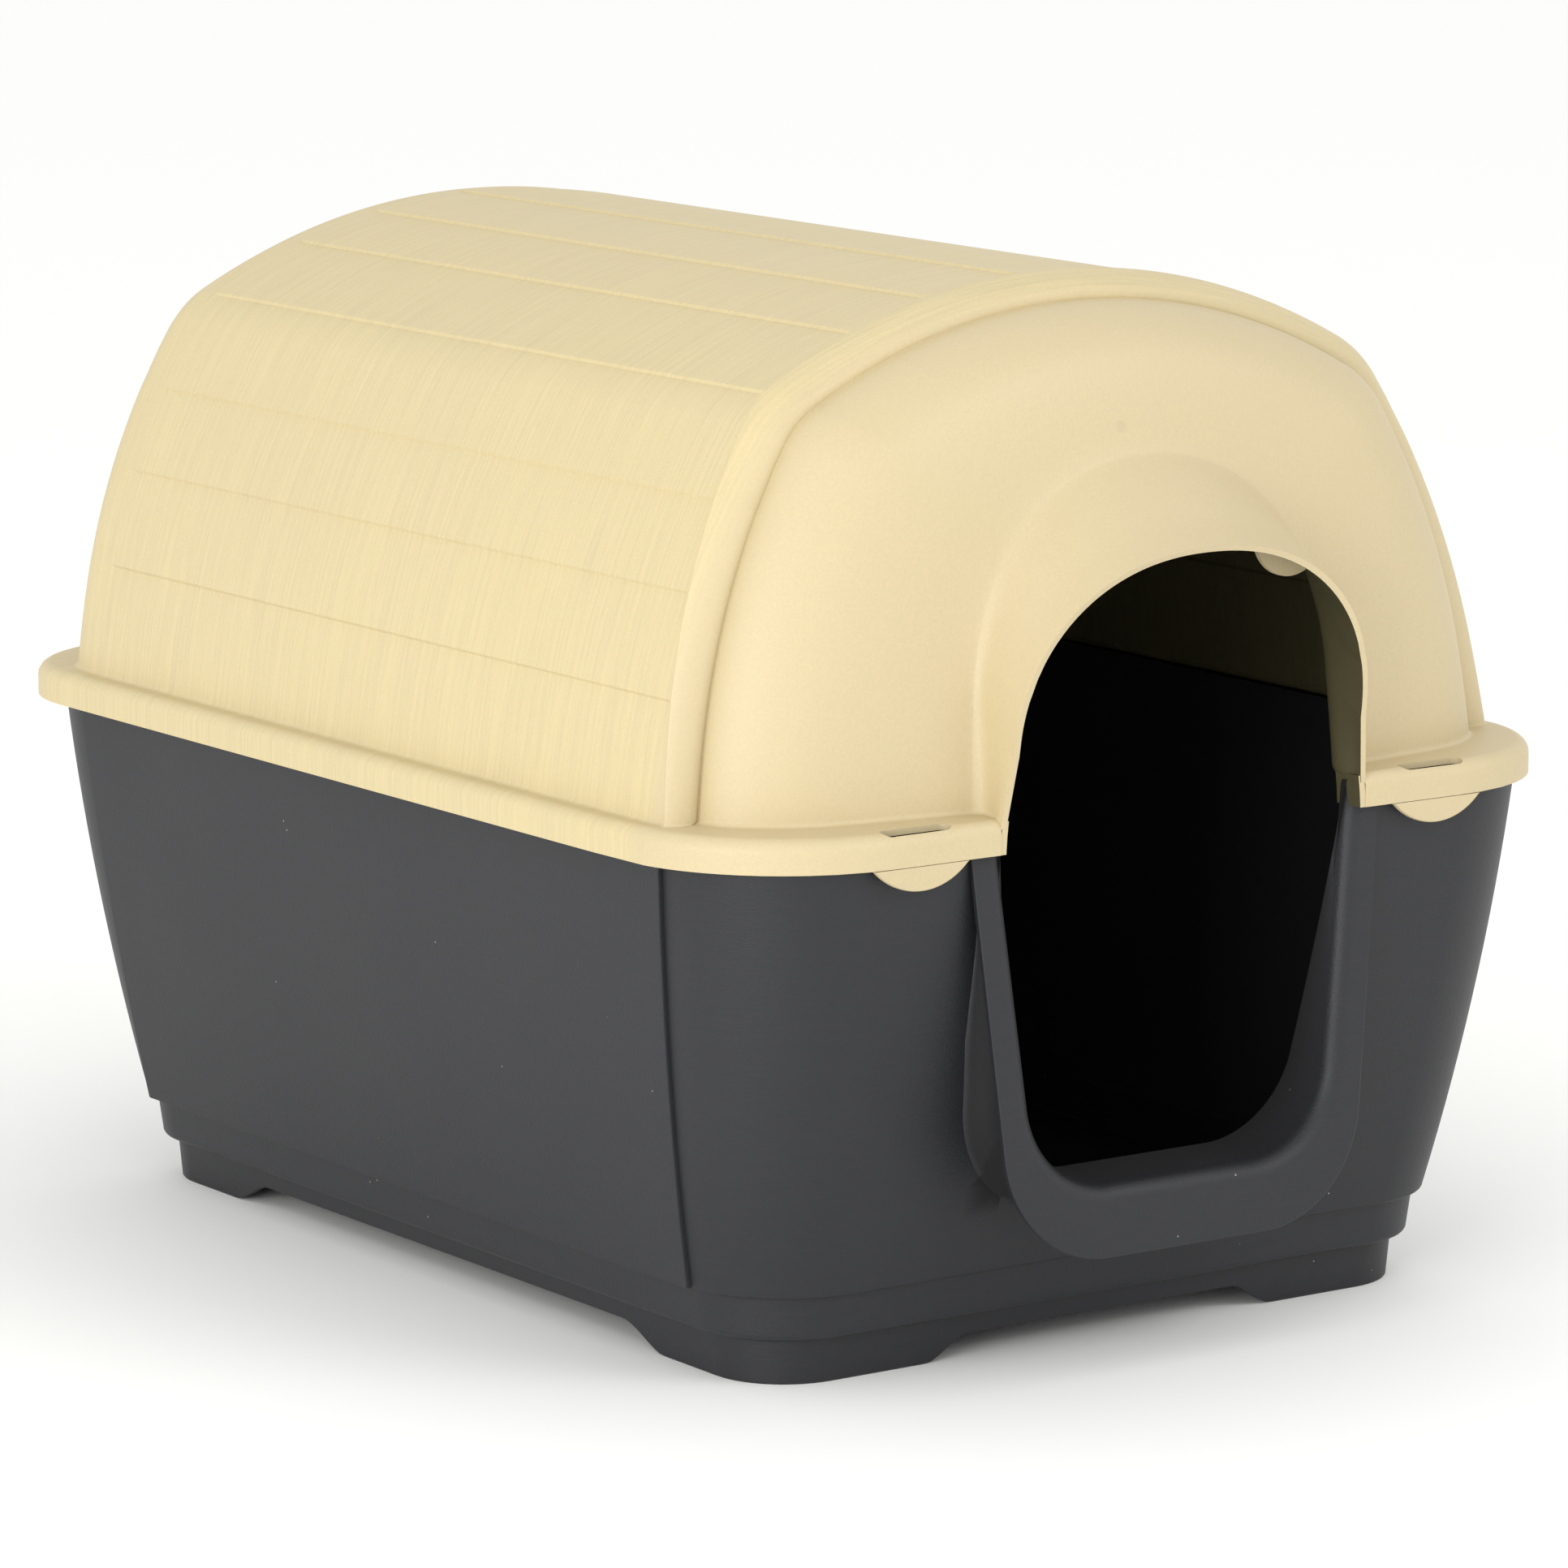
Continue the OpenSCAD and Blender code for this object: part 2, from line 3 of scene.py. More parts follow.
import bmesh
import bpy
import numpy as np
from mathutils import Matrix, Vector


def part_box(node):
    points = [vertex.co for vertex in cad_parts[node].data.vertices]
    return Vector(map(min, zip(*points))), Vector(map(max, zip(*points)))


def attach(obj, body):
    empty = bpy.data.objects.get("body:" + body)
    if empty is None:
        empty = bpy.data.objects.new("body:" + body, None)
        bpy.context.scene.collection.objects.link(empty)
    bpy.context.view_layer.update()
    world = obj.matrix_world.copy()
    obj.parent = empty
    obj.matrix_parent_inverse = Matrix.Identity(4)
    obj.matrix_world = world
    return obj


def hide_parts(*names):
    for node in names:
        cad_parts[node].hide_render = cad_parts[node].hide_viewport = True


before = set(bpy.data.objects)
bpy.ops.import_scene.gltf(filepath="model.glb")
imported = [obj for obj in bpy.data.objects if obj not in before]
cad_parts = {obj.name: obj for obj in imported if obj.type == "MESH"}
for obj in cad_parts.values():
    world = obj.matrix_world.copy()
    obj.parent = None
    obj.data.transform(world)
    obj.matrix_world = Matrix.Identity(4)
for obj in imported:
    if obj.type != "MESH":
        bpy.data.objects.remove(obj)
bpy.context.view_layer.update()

# ------------------------------------------------------------------ tub
# The lower half is one tub injection-moulded in charcoal polypropylene. Its walls curve in towards
# the foot, a plinth and a skirt of feet step in below them, and its rim carries the roof.
MM = 0.001
rim_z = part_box("base")[1][2] / MM
skirt_z = 258.0
plinth_z = 45.5
foot_z = 23.0
floor_z = 17.5
wall = 3.0
tub_half = (245.0, 340.0)
tub_back = 6.0
tub_corner = 67.0
side_taper, end_taper, corner_taper = 28.0, 39.0, 10.0


def lean_in(z):
    """Share of the taper at height z, steeper near the top."""
    t = (skirt_z - z) / (skirt_z - plinth_z)
    return 0.6 * t + 0.4 * t * abs(t)


def wall_x(z):
    return tub_half[0] - side_taper * lean_in(z)


def wall_y(z):
    return tub_half[1] - end_taper * lean_in(z)


def round_rect(half_x, half_y, back_r, front_r, shift, z, steps=14, runs=1):
    """Rounded rectangle at height z, anticlockwise from above, in millimetres."""
    corners = []
    for corner, (sx, sy) in enumerate(((1, 1), (-1, 1), (-1, -1), (1, -1))):
        r = back_r if sy > 0 else front_r
        turns = [math.radians(90 * corner + 90 * k / steps) for k in range(steps + 1)]
        corners.append([(sx * (half_x - r) + r * math.cos(a), shift + sy * (half_y - r) + r * math.sin(a), z)
                        for a in turns])
    points = []
    for corner, after in zip(corners, corners[1:] + corners[:1]):
        (x0, y0, _), (x1, y1, _) = corner[-1], after[0]
        points += corner + [(x0 + (x1 - x0) * k / runs, y0 + (y1 - y0) * k / runs, z) for k in range(1, runs)]
    return points


def closed_loft(name, sections):
    """Closed mesh over sections with equal numbers of points, given in millimetres."""
    n, m = len(sections[0]), len(sections)
    points = [tuple(c * MM for c in p) for s in sections for p in s]
    faces = [(j * n + i, j * n + (i + 1) % n, (j + 1) * n + (i + 1) % n, (j + 1) * n + i)
             for j in range(m - 1) for i in range(n)]
    faces.append(tuple(range(n - 1, -1, -1)))
    faces.append(tuple(range((m - 1) * n, m * n)))
    return make_object(name, points, faces)


def make_object(name, points, faces):
    mesh = bpy.data.meshes.new(name)
    mesh.from_pydata([tuple(p) for p in points], [], faces)
    mesh.validate()
    made = bpy.data.objects.new(name, mesh)
    bpy.context.scene.collection.objects.link(made)
    face_out(made)
    return made


def face_out(made):
    """Turns every face of a closed mesh outwards."""
    bm = bmesh.new()
    bm.from_mesh(made.data)
    bmesh.ops.recalc_face_normals(bm, faces=bm.faces)
    bm.to_mesh(made.data)
    bm.free()


def make_triangles(made):
    bm = bmesh.new()
    bm.from_mesh(made.data)
    bmesh.ops.triangulate(bm, faces=bm.faces)
    bm.to_mesh(made.data)
    bm.free()


def combine(target, others, operation):
    """Joins or cuts closed meshes, and removes the tools. Flat triangles keep the cuts clean."""
    for other in others:
        make_triangles(target)
        make_triangles(other)
        step = target.modifiers.new("combine", "BOOLEAN")
        step.operation = operation
        step.solver = "MANIFOLD"
        step.object = other
        bake(target)
        bpy.data.objects.remove(other)


def bake(made):
    """Applies every modifier of a piece."""
    bpy.context.view_layer.update()
    seen = made.evaluated_get(bpy.context.evaluated_depsgraph_get())
    mesh = bpy.data.meshes.new_from_object(seen)
    old = made.data
    made.modifiers.clear()
    made.data = mesh
    mesh.name = made.name
    bpy.data.meshes.remove(old)


def smooth_by_angle(made, degrees):
    """Smooth shading with crisp edges, and normals that follow the larger faces."""
    made.data.shade_smooth()
    made.data.set_sharp_from_angle(angle=math.radians(degrees))
    step = made.modifiers.new("normals", "WEIGHTED_NORMAL")
    step.keep_sharp = True
    step.weight = 70
    bake(made)


def tub_section(z, inset):
    level = max(z, plinth_z + 2.5)
    r = tub_corner - corner_taper * lean_in(level) - inset
    return round_rect(wall_x(level) - inset, wall_y(level) - inset, r, r, tub_back, z, runs=16)


wall_levels = [plinth_z + 2.5 + (rim_z - 1 - plinth_z - 2.5) * k / 16 for k in range(17)]
quarter = [math.radians(90 * k / 5) for k in range(6)]
foot_inset, plinth_inset, edge_r, step_r = 16.0, 8.0, 3.5, 2.5
outside = [tub_section(0, foot_inset + 2.6), tub_section(0.8, foot_inset + 1.9),
           tub_section(foot_z - 2, foot_inset), tub_section(foot_z - 0.6, foot_inset - 0.6),
           tub_section(foot_z, foot_inset - 2)]
outside += [tub_section(foot_z + edge_r * (1 - math.cos(a)), plinth_inset + edge_r * (1 - math.sin(a)))
            for a in quarter]
outside += [tub_section(plinth_z - 2, 5.6), tub_section(plinth_z - 0.6, 5.1), tub_section(plinth_z, 4)]
outside += [tub_section(plinth_z + step_r * (1 - math.cos(a)), step_r * (1 - math.sin(a)))
            for a in quarter[:-1]]
outside += [tub_section(z, 0) for z in wall_levels]
tub = closed_loft("base_moulding", outside)

inside = [tub_section(floor_z, foot_inset + wall + 6), tub_section(floor_z + 1.5, foot_inset + wall + 1.5),
          tub_section(floor_z + 6, foot_inset + wall), tub_section(foot_z + wall, foot_inset + wall - 1),
          tub_section(foot_z + wall + 1, plinth_inset + wall), tub_section(plinth_z, 6 + wall)]
inside += [tub_section(z, wall) for z in wall_levels]
inside += [tub_section(rim_z + 30, wall)]
tub_hollow = closed_loft("tub_hollow", inside)

rim_in = wall + 1.5
roof_half = (260.0, 351.0)
roof_back = 9.0
back_corner, front_corner = 82.0, 90.0
rim_outline = [(rim_z - wall, 0.6), (rim_z - wall + 0.6, 0), (rim_z - 0.6, 0), (rim_z, 0.6)]
rim = closed_loft("rim", [round_rect(roof_half[0] - rim_in - i, roof_half[1] - rim_in - i,
                                     back_corner - rim_in - i, front_corner - rim_in - i, roof_back, z)
                          for z, i in rim_outline])

# Each side wall has a panel that stands proud, with a crisp front and back edge. It follows the
# same rule as the wall, so that it stays a constant height above it.
panel_half_top, panel_half_foot, panel_back, panel_proud = 271.0, 252.0, 8.5, 2.5
panel_foot_z, panel_top_z, panel_depth = plinth_z + 0.9, rim_z - 1.5, 4.5


def add_node(tree, kind, settings=None, inputs=None, links=None):
    """Adds a node, sets its properties and input values, and links (input, source socket) pairs."""
    node = tree.nodes.new(kind)
    for key, value in (settings or {}).items():
        setattr(node, key, value)
    for key, value in (inputs or {}).items():
        node.inputs[key].default_value = value
    for key, source in (links or {}).items():
        tree.links.new(source, node.inputs[key])
    return node


def panel_tree():
    """A grid bent to the wall's rule, raised by the panel's height and closed at the back."""
    tree = bpy.data.node_groups.new("side panel", "GeometryNodeTree")
    names = ("Side", "Foot height", "Top height", "Foot half length", "Top half length", "Middle",
             "Half width", "Taper", "Taper top", "Taper foot", "Proud", "Depth")
    for name in names:
        tree.interface.new_socket(name, in_out="INPUT", socket_type="NodeSocketFloat")
    tree.interface.new_socket("Material", in_out="INPUT", socket_type="NodeSocketMaterial")
    tree.interface.new_socket("Geometry", in_out="OUTPUT", socket_type="NodeSocketGeometry")
    given = add_node(tree, "NodeGroupInput").outputs

    def maths(kind, a, b, c=None):
        node = add_node(tree, "ShaderNodeMath", {"operation": kind})
        for socket, value in zip(node.inputs, (a, b, c)):
            if value is None:
                continue
            if isinstance(value, (int, float)):
                socket.default_value = value
            else:
                tree.links.new(value, socket)
        return node.outputs[0]

    grid = add_node(tree, "GeometryNodeMeshGrid", inputs={"Size X": 2.0, "Size Y": 1.0,
                                                          "Vertices X": 33, "Vertices Y": 25})
    place = add_node(tree, "GeometryNodeInputPosition").outputs[0]
    parts = add_node(tree, "ShaderNodeSeparateXYZ", links={"Vector": place}).outputs
    t = maths("ADD", parts["Y"], 0.5)
    z = maths("MULTIPLY_ADD", maths("SUBTRACT", given["Top height"], given["Foot height"]), t,
               given["Foot height"])
    down = maths("DIVIDE", maths("SUBTRACT", given["Taper top"], z),
                  maths("SUBTRACT", given["Taper top"], given["Taper foot"]))
    steeper = maths("MULTIPLY", maths("MULTIPLY", down, maths("ABSOLUTE", down, None)), 0.4)
    lean = maths("MULTIPLY_ADD", down, 0.6, steeper)
    wall_out = maths("SUBTRACT", given["Half width"], maths("MULTIPLY", given["Taper"], lean))
    x = maths("MULTIPLY", maths("ADD", wall_out, given["Proud"]), given["Side"])
    half = maths("MULTIPLY_ADD", maths("SUBTRACT", given["Top half length"], given["Foot half length"]), t,
                  given["Foot half length"])
    y = maths("MULTIPLY_ADD", parts["X"], half, given["Middle"])
    spot = add_node(tree, "ShaderNodeCombineXYZ", links={"X": x, "Y": y, "Z": z})
    bent = add_node(tree, "GeometryNodeSetPosition", links={"Geometry": grid.outputs["Mesh"],
                                                            "Position": spot.outputs[0]})
    inwards = maths("MULTIPLY", maths("MULTIPLY", given["Depth"], given["Side"]), -1.0)
    inward = add_node(tree, "ShaderNodeCombineXYZ", links={"X": inwards})
    deep = add_node(tree, "GeometryNodeExtrudeMesh", {"mode": "FACES"}, {"Individual": False},
                    {"Mesh": bent.outputs[0], "Offset": inward.outputs[0]})
    turned = add_node(tree, "GeometryNodeFlipFaces", links={"Mesh": bent.outputs[0]})
    both = add_node(tree, "GeometryNodeJoinGeometry")
    tree.links.new(deep.outputs["Mesh"], both.inputs[0])
    tree.links.new(turned.outputs[0], both.inputs[0])
    closed = add_node(tree, "GeometryNodeMergeByDistance", inputs={"Distance": 1e-6},
                      links={"Geometry": both.outputs[0]})
    real = add_node(tree, "GeometryNodeRealizeInstances", links={"Geometry": closed.outputs[0]})
    coated = add_node(tree, "GeometryNodeSetMaterial",
                      links={"Geometry": real.outputs[0], "Material": given["Material"]})
    add_node(tree, "NodeGroupOutput", links={"Geometry": coated.outputs[0]})
    return tree


def side_panel(side):
    values = (side, panel_foot_z * MM, panel_top_z * MM, panel_half_foot * MM, panel_half_top * MM,
              panel_back * MM, tub_half[0] * MM, side_taper * MM, skirt_z * MM, plinth_z * MM,
              panel_proud * MM, panel_depth * MM)
    piece = bpy.data.objects.new("panel", bpy.data.meshes.new("panel"))
    bpy.context.scene.collection.objects.link(piece)
    step = piece.modifiers.new("panel", "NODES")
    step.node_group = side_panel_rule
    sockets = [item for item in side_panel_rule.interface.items_tree if item.in_out == "INPUT"]
    for socket, value in zip(sockets, values):
        step[socket.identifier] = float(value)
    bake(piece)
    edges = piece.modifiers.new("edges", "BEVEL")
    edges.width, edges.segments, edges.limit_method = 0.8 * MM, 2, "ANGLE"
    bake(piece)
    face_out(piece)
    return piece


side_panel_rule = panel_tree()


# The doorway is framed by a flat ring on a short neck that grows out of the front wall.
ring_half, ring_low_half, sill_z, ring_r = 112.0, 92.7, 84.3, 55.0
outer_half, outer_low_half, ring_foot_z, outer_r = 122.0, 101.0, 57.8, 60.0
ring_front, ring_lean = 336.0, 10.0


def u_outline(grow, outer, z_top):
    """U-shaped doorway outline as (x, z), grown outwards by a distance."""
    half, low, foot, r = ((outer_half, outer_low_half, ring_foot_z, outer_r) if outer
                          else (ring_half, ring_low_half, sill_z, ring_r))
    half, low, foot, r = half + grow, low + grow, foot - grow, r + grow
    lean = (half - low) / (skirt_z - foot)
    cx, cz = low + lean * r - r * math.sqrt(1 + lean * lean), foot + r
    stop = 90 - math.degrees(math.atan(lean))
    right = [(cx + r * math.cos(math.radians(-90 + stop * k / 40)),
              cz + r * math.sin(math.radians(-90 + stop * k / 40))) for k in range(41)]
    arc_x, arc_z = right[-1]
    top_x = half + lean * (z_top - skirt_z)
    right += [(arc_x + (top_x - arc_x) * k / 8, arc_z + (z_top - arc_z) * k / 8) for k in range(1, 9)]
    return right[::-1] + [(-x, z) for x, z in right]


def ring_y(z):
    return -(ring_front + ring_lean * (skirt_z - z) / (skirt_z - ring_foot_z))


def front_wall_y(z):
    return tub_back - wall_y(max(z, plinth_z))


def ring_and_neck():
    """The ring's face, its round inner edge, the neck and its flared root, as one closed sweep."""
    top = rim_z - 0.8
    edge, flare = 8.0, 14.0
    rows = []
    for k in range(7):
        a = math.radians(90 * k / 6)
        rows.append([(x, ring_y(z) + edge * (1 - math.sin(a)), z)
                     for x, z in u_outline(-edge * math.cos(a), False, top)])
    rows.append([(x, ring_y(z), z) for x, z in u_outline(-0.5, True, top)])
    rows.append([(x, ring_y(z) + 0.4, z) for x, z in u_outline(0, True, top)])
    rows.append([(x, ring_y(z) + 2.6, z) for x, z in u_outline(0, True, top)])
    rows.append([(x, ring_y(z) + wall, z) for x, z in u_outline(-0.5, True, top)])
    rows.append([(x, ring_y(z) + wall, z) for x, z in u_outline(wall, False, top)])
    neck, root = u_outline(wall, False, top), u_outline(wall + flare, False, top)
    # The flare stops at 60 degrees and then dives straight through the wall, for a clean seam.
    turns = [(1 - math.cos(math.radians(5 * k)), 1 - math.sin(math.radians(5 * k))) for k in range(13)]
    for along_root, off_wall in turns + [(0.74, -1.8 / flare)]:
        row = []
        for (x0, z0), (x1, z1) in zip(neck, root):
            here = min(1.0, max(0.02, 0.9 * (front_wall_y(z0) - ring_y(z0) - wall) / flare))
            share = here * along_root
            x, z = x0 + (x1 - x0) * share, z0 + (z1 - z0) * share
            row.append((x, front_wall_y(z) - (here if off_wall > 0 else 1.0) * flare * off_wall, z))
        rows.append(row)
    rows.append([(x, front_wall_y(z) + wall, z) for x, z in u_outline(0, False, top)])
    rows.append([(x, front_wall_y(z) + wall + 0.6, z) for x, z in u_outline(-edge - 1, False, top)])
    rows.append([(x, front_wall_y(z) + wall - 0.6, z) for x, z in u_outline(-edge - 1.8, False, top)])
    n = len(rows[0])
    points = [tuple(c * MM for c in p) for row in rows for p in row]
    m = len(rows)
    faces = [(j * n + i, j * n + i + 1, ((j + 1) % m) * n + i + 1, ((j + 1) % m) * n + i)
             for j in range(m) for i in range(n - 1)]
    faces.append(tuple(j * n for j in range(m)))
    faces.append(tuple(j * n + n - 1 for j in range(m - 1, -1, -1)))
    return make_object("ring", points, faces)


def doorway_cut():
    """The way through the front wall, inside the neck."""
    top = rim_z + 20
    front = [(x, -ring_front - 30, z) for x, z in u_outline(-5, False, top)]
    back = [(x, -230, z) for x, z in u_outline(-5, False, top)]
    return closed_loft("doorway", [front, back])


def foot_arch(half, sweep, depth, across):
    """The raised arch between two feet: flat, with an S curve at each end."""
    rise = 12.3
    right = [(half - sweep * k / 12, rise * (1 - math.cos(math.pi * k / 12)) / 2) for k in range(13)]
    outline = [(half, -20)] + right + [(-x, z) for x, z in right[::-1]] + [(-half, -20)]
    if across:
        return closed_loft("arch", [[(s * depth, tub_back + a, z) for a, z in outline] for s in (1, -1)])
    return closed_loft("arch", [[(a, tub_back + s * depth, z) for a, z in outline] for s in (-1, 1)])


under_floor = closed_loft("under_floor", [tub_section(z, foot_inset + wall + 2)
                                          for z in (-20, floor_z - wall)])
# A small block stands under the rim near the back of each side wall.
nub_outline = ((243.5, 284.5), (253.5, 285), (253.5, 293), (243.5, 293.5))
nubs = [closed_loft("nub", [[(side * x, y, z) for x, y in nub_outline] for z in (256.5, rim_z - 1)])
        for side in (-1, 1)]
combine(tub, [rim, side_panel(-1), side_panel(1)] + nubs, "UNION")
combine(tub, [tub_hollow, doorway_cut()], "DIFFERENCE")
combine(tub, [ring_and_neck()], "UNION")
# The rim stops on either side of the doorway.
gap_outline = ((-104, -400), (104, -400), (104, -300), (-104, -300))
rim_gap_cut = closed_loft("rim_gap", [[(x, y, z) for x, y in gap_outline]
                                      for z in (rim_z - wall - 1, rim_z + 20)])
combine(tub, [rim_gap_cut, under_floor, foot_arch(107, 28, 400, False), foot_arch(203, 38, 300, True)],
        "DIFFERENCE")
smooth_by_angle(tub, 32)


lean_of_ring = (ring_half - ring_low_half) / (skirt_z - sill_z)


def mark_painted_inner_shade(made):
    """Marks where shade is painted: what faces the cabin, from behind the ring's round edge inwards, and the
    shaded neck.
    """
    marks = made.data.attributes.new("painted_inner_shade", "FLOAT", "POINT")
    for vertex, mark in zip(made.data.vertices, marks.data):
        x, y, z = (c / MM for c in vertex.co)
        level = max(z, plinth_z)
        r = tub_corner - corner_taper * lean_in(level)
        qx, qy = abs(x) - wall_x(level) + r, abs(y - tub_back) - wall_y(level) + r
        in_from_wall = r - math.hypot(max(qx, 0), max(qy, 0)) - min(max(qx, qy), 0)
        enough = 2.4 if z > plinth_z + 1 else 10.5 if z > foot_z + 3.5 else foot_inset + 2.9
        inside = in_from_wall > enough and floor_z - 0.5 < z < rim_z - 0.3
        in_neck = abs(x) < ring_half + lean_of_ring * (z - skirt_z) + 1 and y < front_wall_y(z) + wall + 1
        depth = (y - ring_y(z) - 4.5) / 9.0
        behind_ring = ring_y(z) + wall - 0.2 < y < front_wall_y(z) - 0.3
        if inside:
            mark.value = 1.0
        elif in_neck and z > sill_z - 1:
            mark.value = min(max(depth, 0.0), 1.0)
        else:
            mark.value = 0.7 if behind_ring and abs(x) < outer_half else 0.0


mark_painted_inner_shade(tub)
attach(tub, "base")
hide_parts("base")


def linear(hex_colour):
    """sRGB hex to a linear colour."""
    parts = [int(hex_colour[i:i + 2], 16) / 255 for i in (1, 3, 5)]
    return tuple(c / 12.92 if c <= 0.04045 else ((c + 0.055) / 1.055) ** 2.4 for c in parts) + (1.0,)


def new_material(name):
    material = bpy.data.materials.new(name)
    material.use_nodes = True
    tree = material.node_tree
    tree.nodes.clear()
    shader = add_node(tree, "ShaderNodeBsdfPrincipled")
    add_node(tree, "ShaderNodeOutputMaterial", links={"Surface": shader.outputs[0]})
    return material, tree, shader


def stretched(tree, place, scale):
    return add_node(tree, "ShaderNodeMapping", inputs={"Scale": scale}, links={"Vector": place}).outputs[0]


def charcoal_plastic():
    """Polypropylene moulded against a blasted tool: dark, slightly blue grey, with a fine matt grain."""
    material, tree, shader = new_material("charcoal polypropylene")
    place = add_node(tree, "ShaderNodeTexCoord").outputs["Object"]
    grain = add_node(tree, "ShaderNodeTexNoise", inputs={"Scale": 900.0, "Detail": 3.0, "Roughness": 0.6},
                     links={"Vector": place})
    cloud = add_node(tree, "ShaderNodeTexNoise", inputs={"Scale": 7.0, "Detail": 4.0, "Roughness": 0.55},
                     links={"Vector": place})
    brush = add_node(tree, "ShaderNodeTexNoise", inputs={"Scale": 1.0, "Detail": 2.0},
                     links={"Vector": stretched(tree, place, (40.0, 40.0, 900.0))})
    grain_part = add_node(tree, "ShaderNodeMath", {"operation": "MULTIPLY_ADD"}, {1: 0.35, 2: 0.0},
                   {0: grain.outputs["Fac"]})
    cloud_part = add_node(tree, "ShaderNodeMath", {"operation": "MULTIPLY_ADD"}, {1: 0.35},
                    {0: cloud.outputs["Fac"], 2: grain_part.outputs[0]})
    tone = add_node(tree, "ShaderNodeMath", {"operation": "MULTIPLY_ADD"}, {1: 0.3},
                    {0: brush.outputs["Fac"], 2: cloud_part.outputs[0]})
    ramp = add_node(tree, "ShaderNodeValToRGB", links={"Fac": tone.outputs[0]})
    ramp.color_ramp.elements[0].position = 0.3
    ramp.color_ramp.elements[0].color = linear("#17181C")
    ramp.color_ramp.elements[1].position = 0.7
    ramp.color_ramp.elements[1].color = linear("#212226")
    dust_cells = add_node(tree, "ShaderNodeTexVoronoi", {"feature": "F1"}, {"Scale": 95.0, "Randomness": 1.0},
                          {"Vector": place})
    dust_spot = add_node(tree, "ShaderNodeMath", {"operation": "LESS_THAN"}, {1: 0.045},
                         {0: dust_cells.outputs["Distance"]})
    dust_where = add_node(tree, "ShaderNodeTexNoise", inputs={"Scale": 9.0, "Detail": 2.0},
                          links={"Vector": place})
    low_down = add_node(tree, "ShaderNodeSeparateXYZ", links={"Vector": place})
    near_floor = add_node(tree, "ShaderNodeMapRange", inputs={"From Min": 0.0, "From Max": 0.16,
                                                              "To Min": 0.52, "To Max": 0.6},
                          links={"Value": low_down.outputs["Z"]})
    dusty = add_node(tree, "ShaderNodeMath", {"operation": "GREATER_THAN"},
                     links={0: dust_where.outputs["Fac"], 1: near_floor.outputs[0]})
    speck = add_node(tree, "ShaderNodeMath", {"operation": "MULTIPLY"},
                     links={0: dust_spot.outputs[0], 1: dusty.outputs[0]})
    colour = add_node(tree, "ShaderNodeMix", {"data_type": "RGBA"}, links={"Factor": speck.outputs[0]})
    # The blasted grain speckles the tone, and the feet are painted a little darker than the walls: painted
    # shade near the floor.
    painted_foot_shade = add_node(tree, "ShaderNodeMapRange", inputs={"From Min": 0.0, "From Max": 0.03,
                                                           "To Min": 0.66, "To Max": 0.9},
                       links={"Value": low_down.outputs["Z"]})
    value = add_node(tree, "ShaderNodeMath", {"operation": "MULTIPLY_ADD"}, {1: 0.2},
                     {0: grain.outputs["Fac"], 2: painted_foot_shade.outputs[0]})
    toned = add_node(tree, "ShaderNodeHueSaturation",
                     links={"Color": ramp.outputs[0], "Value": value.outputs[0]})
    tree.links.new(toned.outputs[0], colour.inputs[6])
    colour.inputs[7].default_value = linear("#8F8E8A")
    # Painted shade: marked faces are mixed towards near-black, for the shade in the cabin and on the neck
    # behind the ring.
    inner = add_node(tree, "ShaderNodeAttribute", {"attribute_name": "painted_inner_shade"})
    shaded = add_node(tree, "ShaderNodeMix", {"data_type": "RGBA"}, links={"Factor": inner.outputs["Fac"]})
    tree.links.new(colour.outputs[2], shaded.inputs[6])
    shaded.inputs[7].default_value = linear("#121214")
    tree.links.new(shaded.outputs[2], shader.inputs["Base Color"])
    rough = add_node(tree, "ShaderNodeMapRange", inputs={"To Min": 0.42, "To Max": 0.58},
                     links={"Value": cloud.outputs["Fac"]})
    dull = add_node(tree, "ShaderNodeMath", {"operation": "MULTIPLY_ADD"}, {1: 0.4},
                    {0: inner.outputs["Fac"], 2: rough.outputs[0]})
    tree.links.new(dull.outputs[0], shader.inputs["Roughness"])
    bump = add_node(tree, "ShaderNodeBump", inputs={"Strength": 0.45, "Distance": 0.0005},
                    links={"Height": grain.outputs["Fac"]})
    tree.links.new(bump.outputs[0], shader.inputs["Normal"])
    shader.inputs["IOR"].default_value = 1.49
    return material


charcoal = charcoal_plastic()
tub.data.materials.clear()
tub.data.materials.append(charcoal)

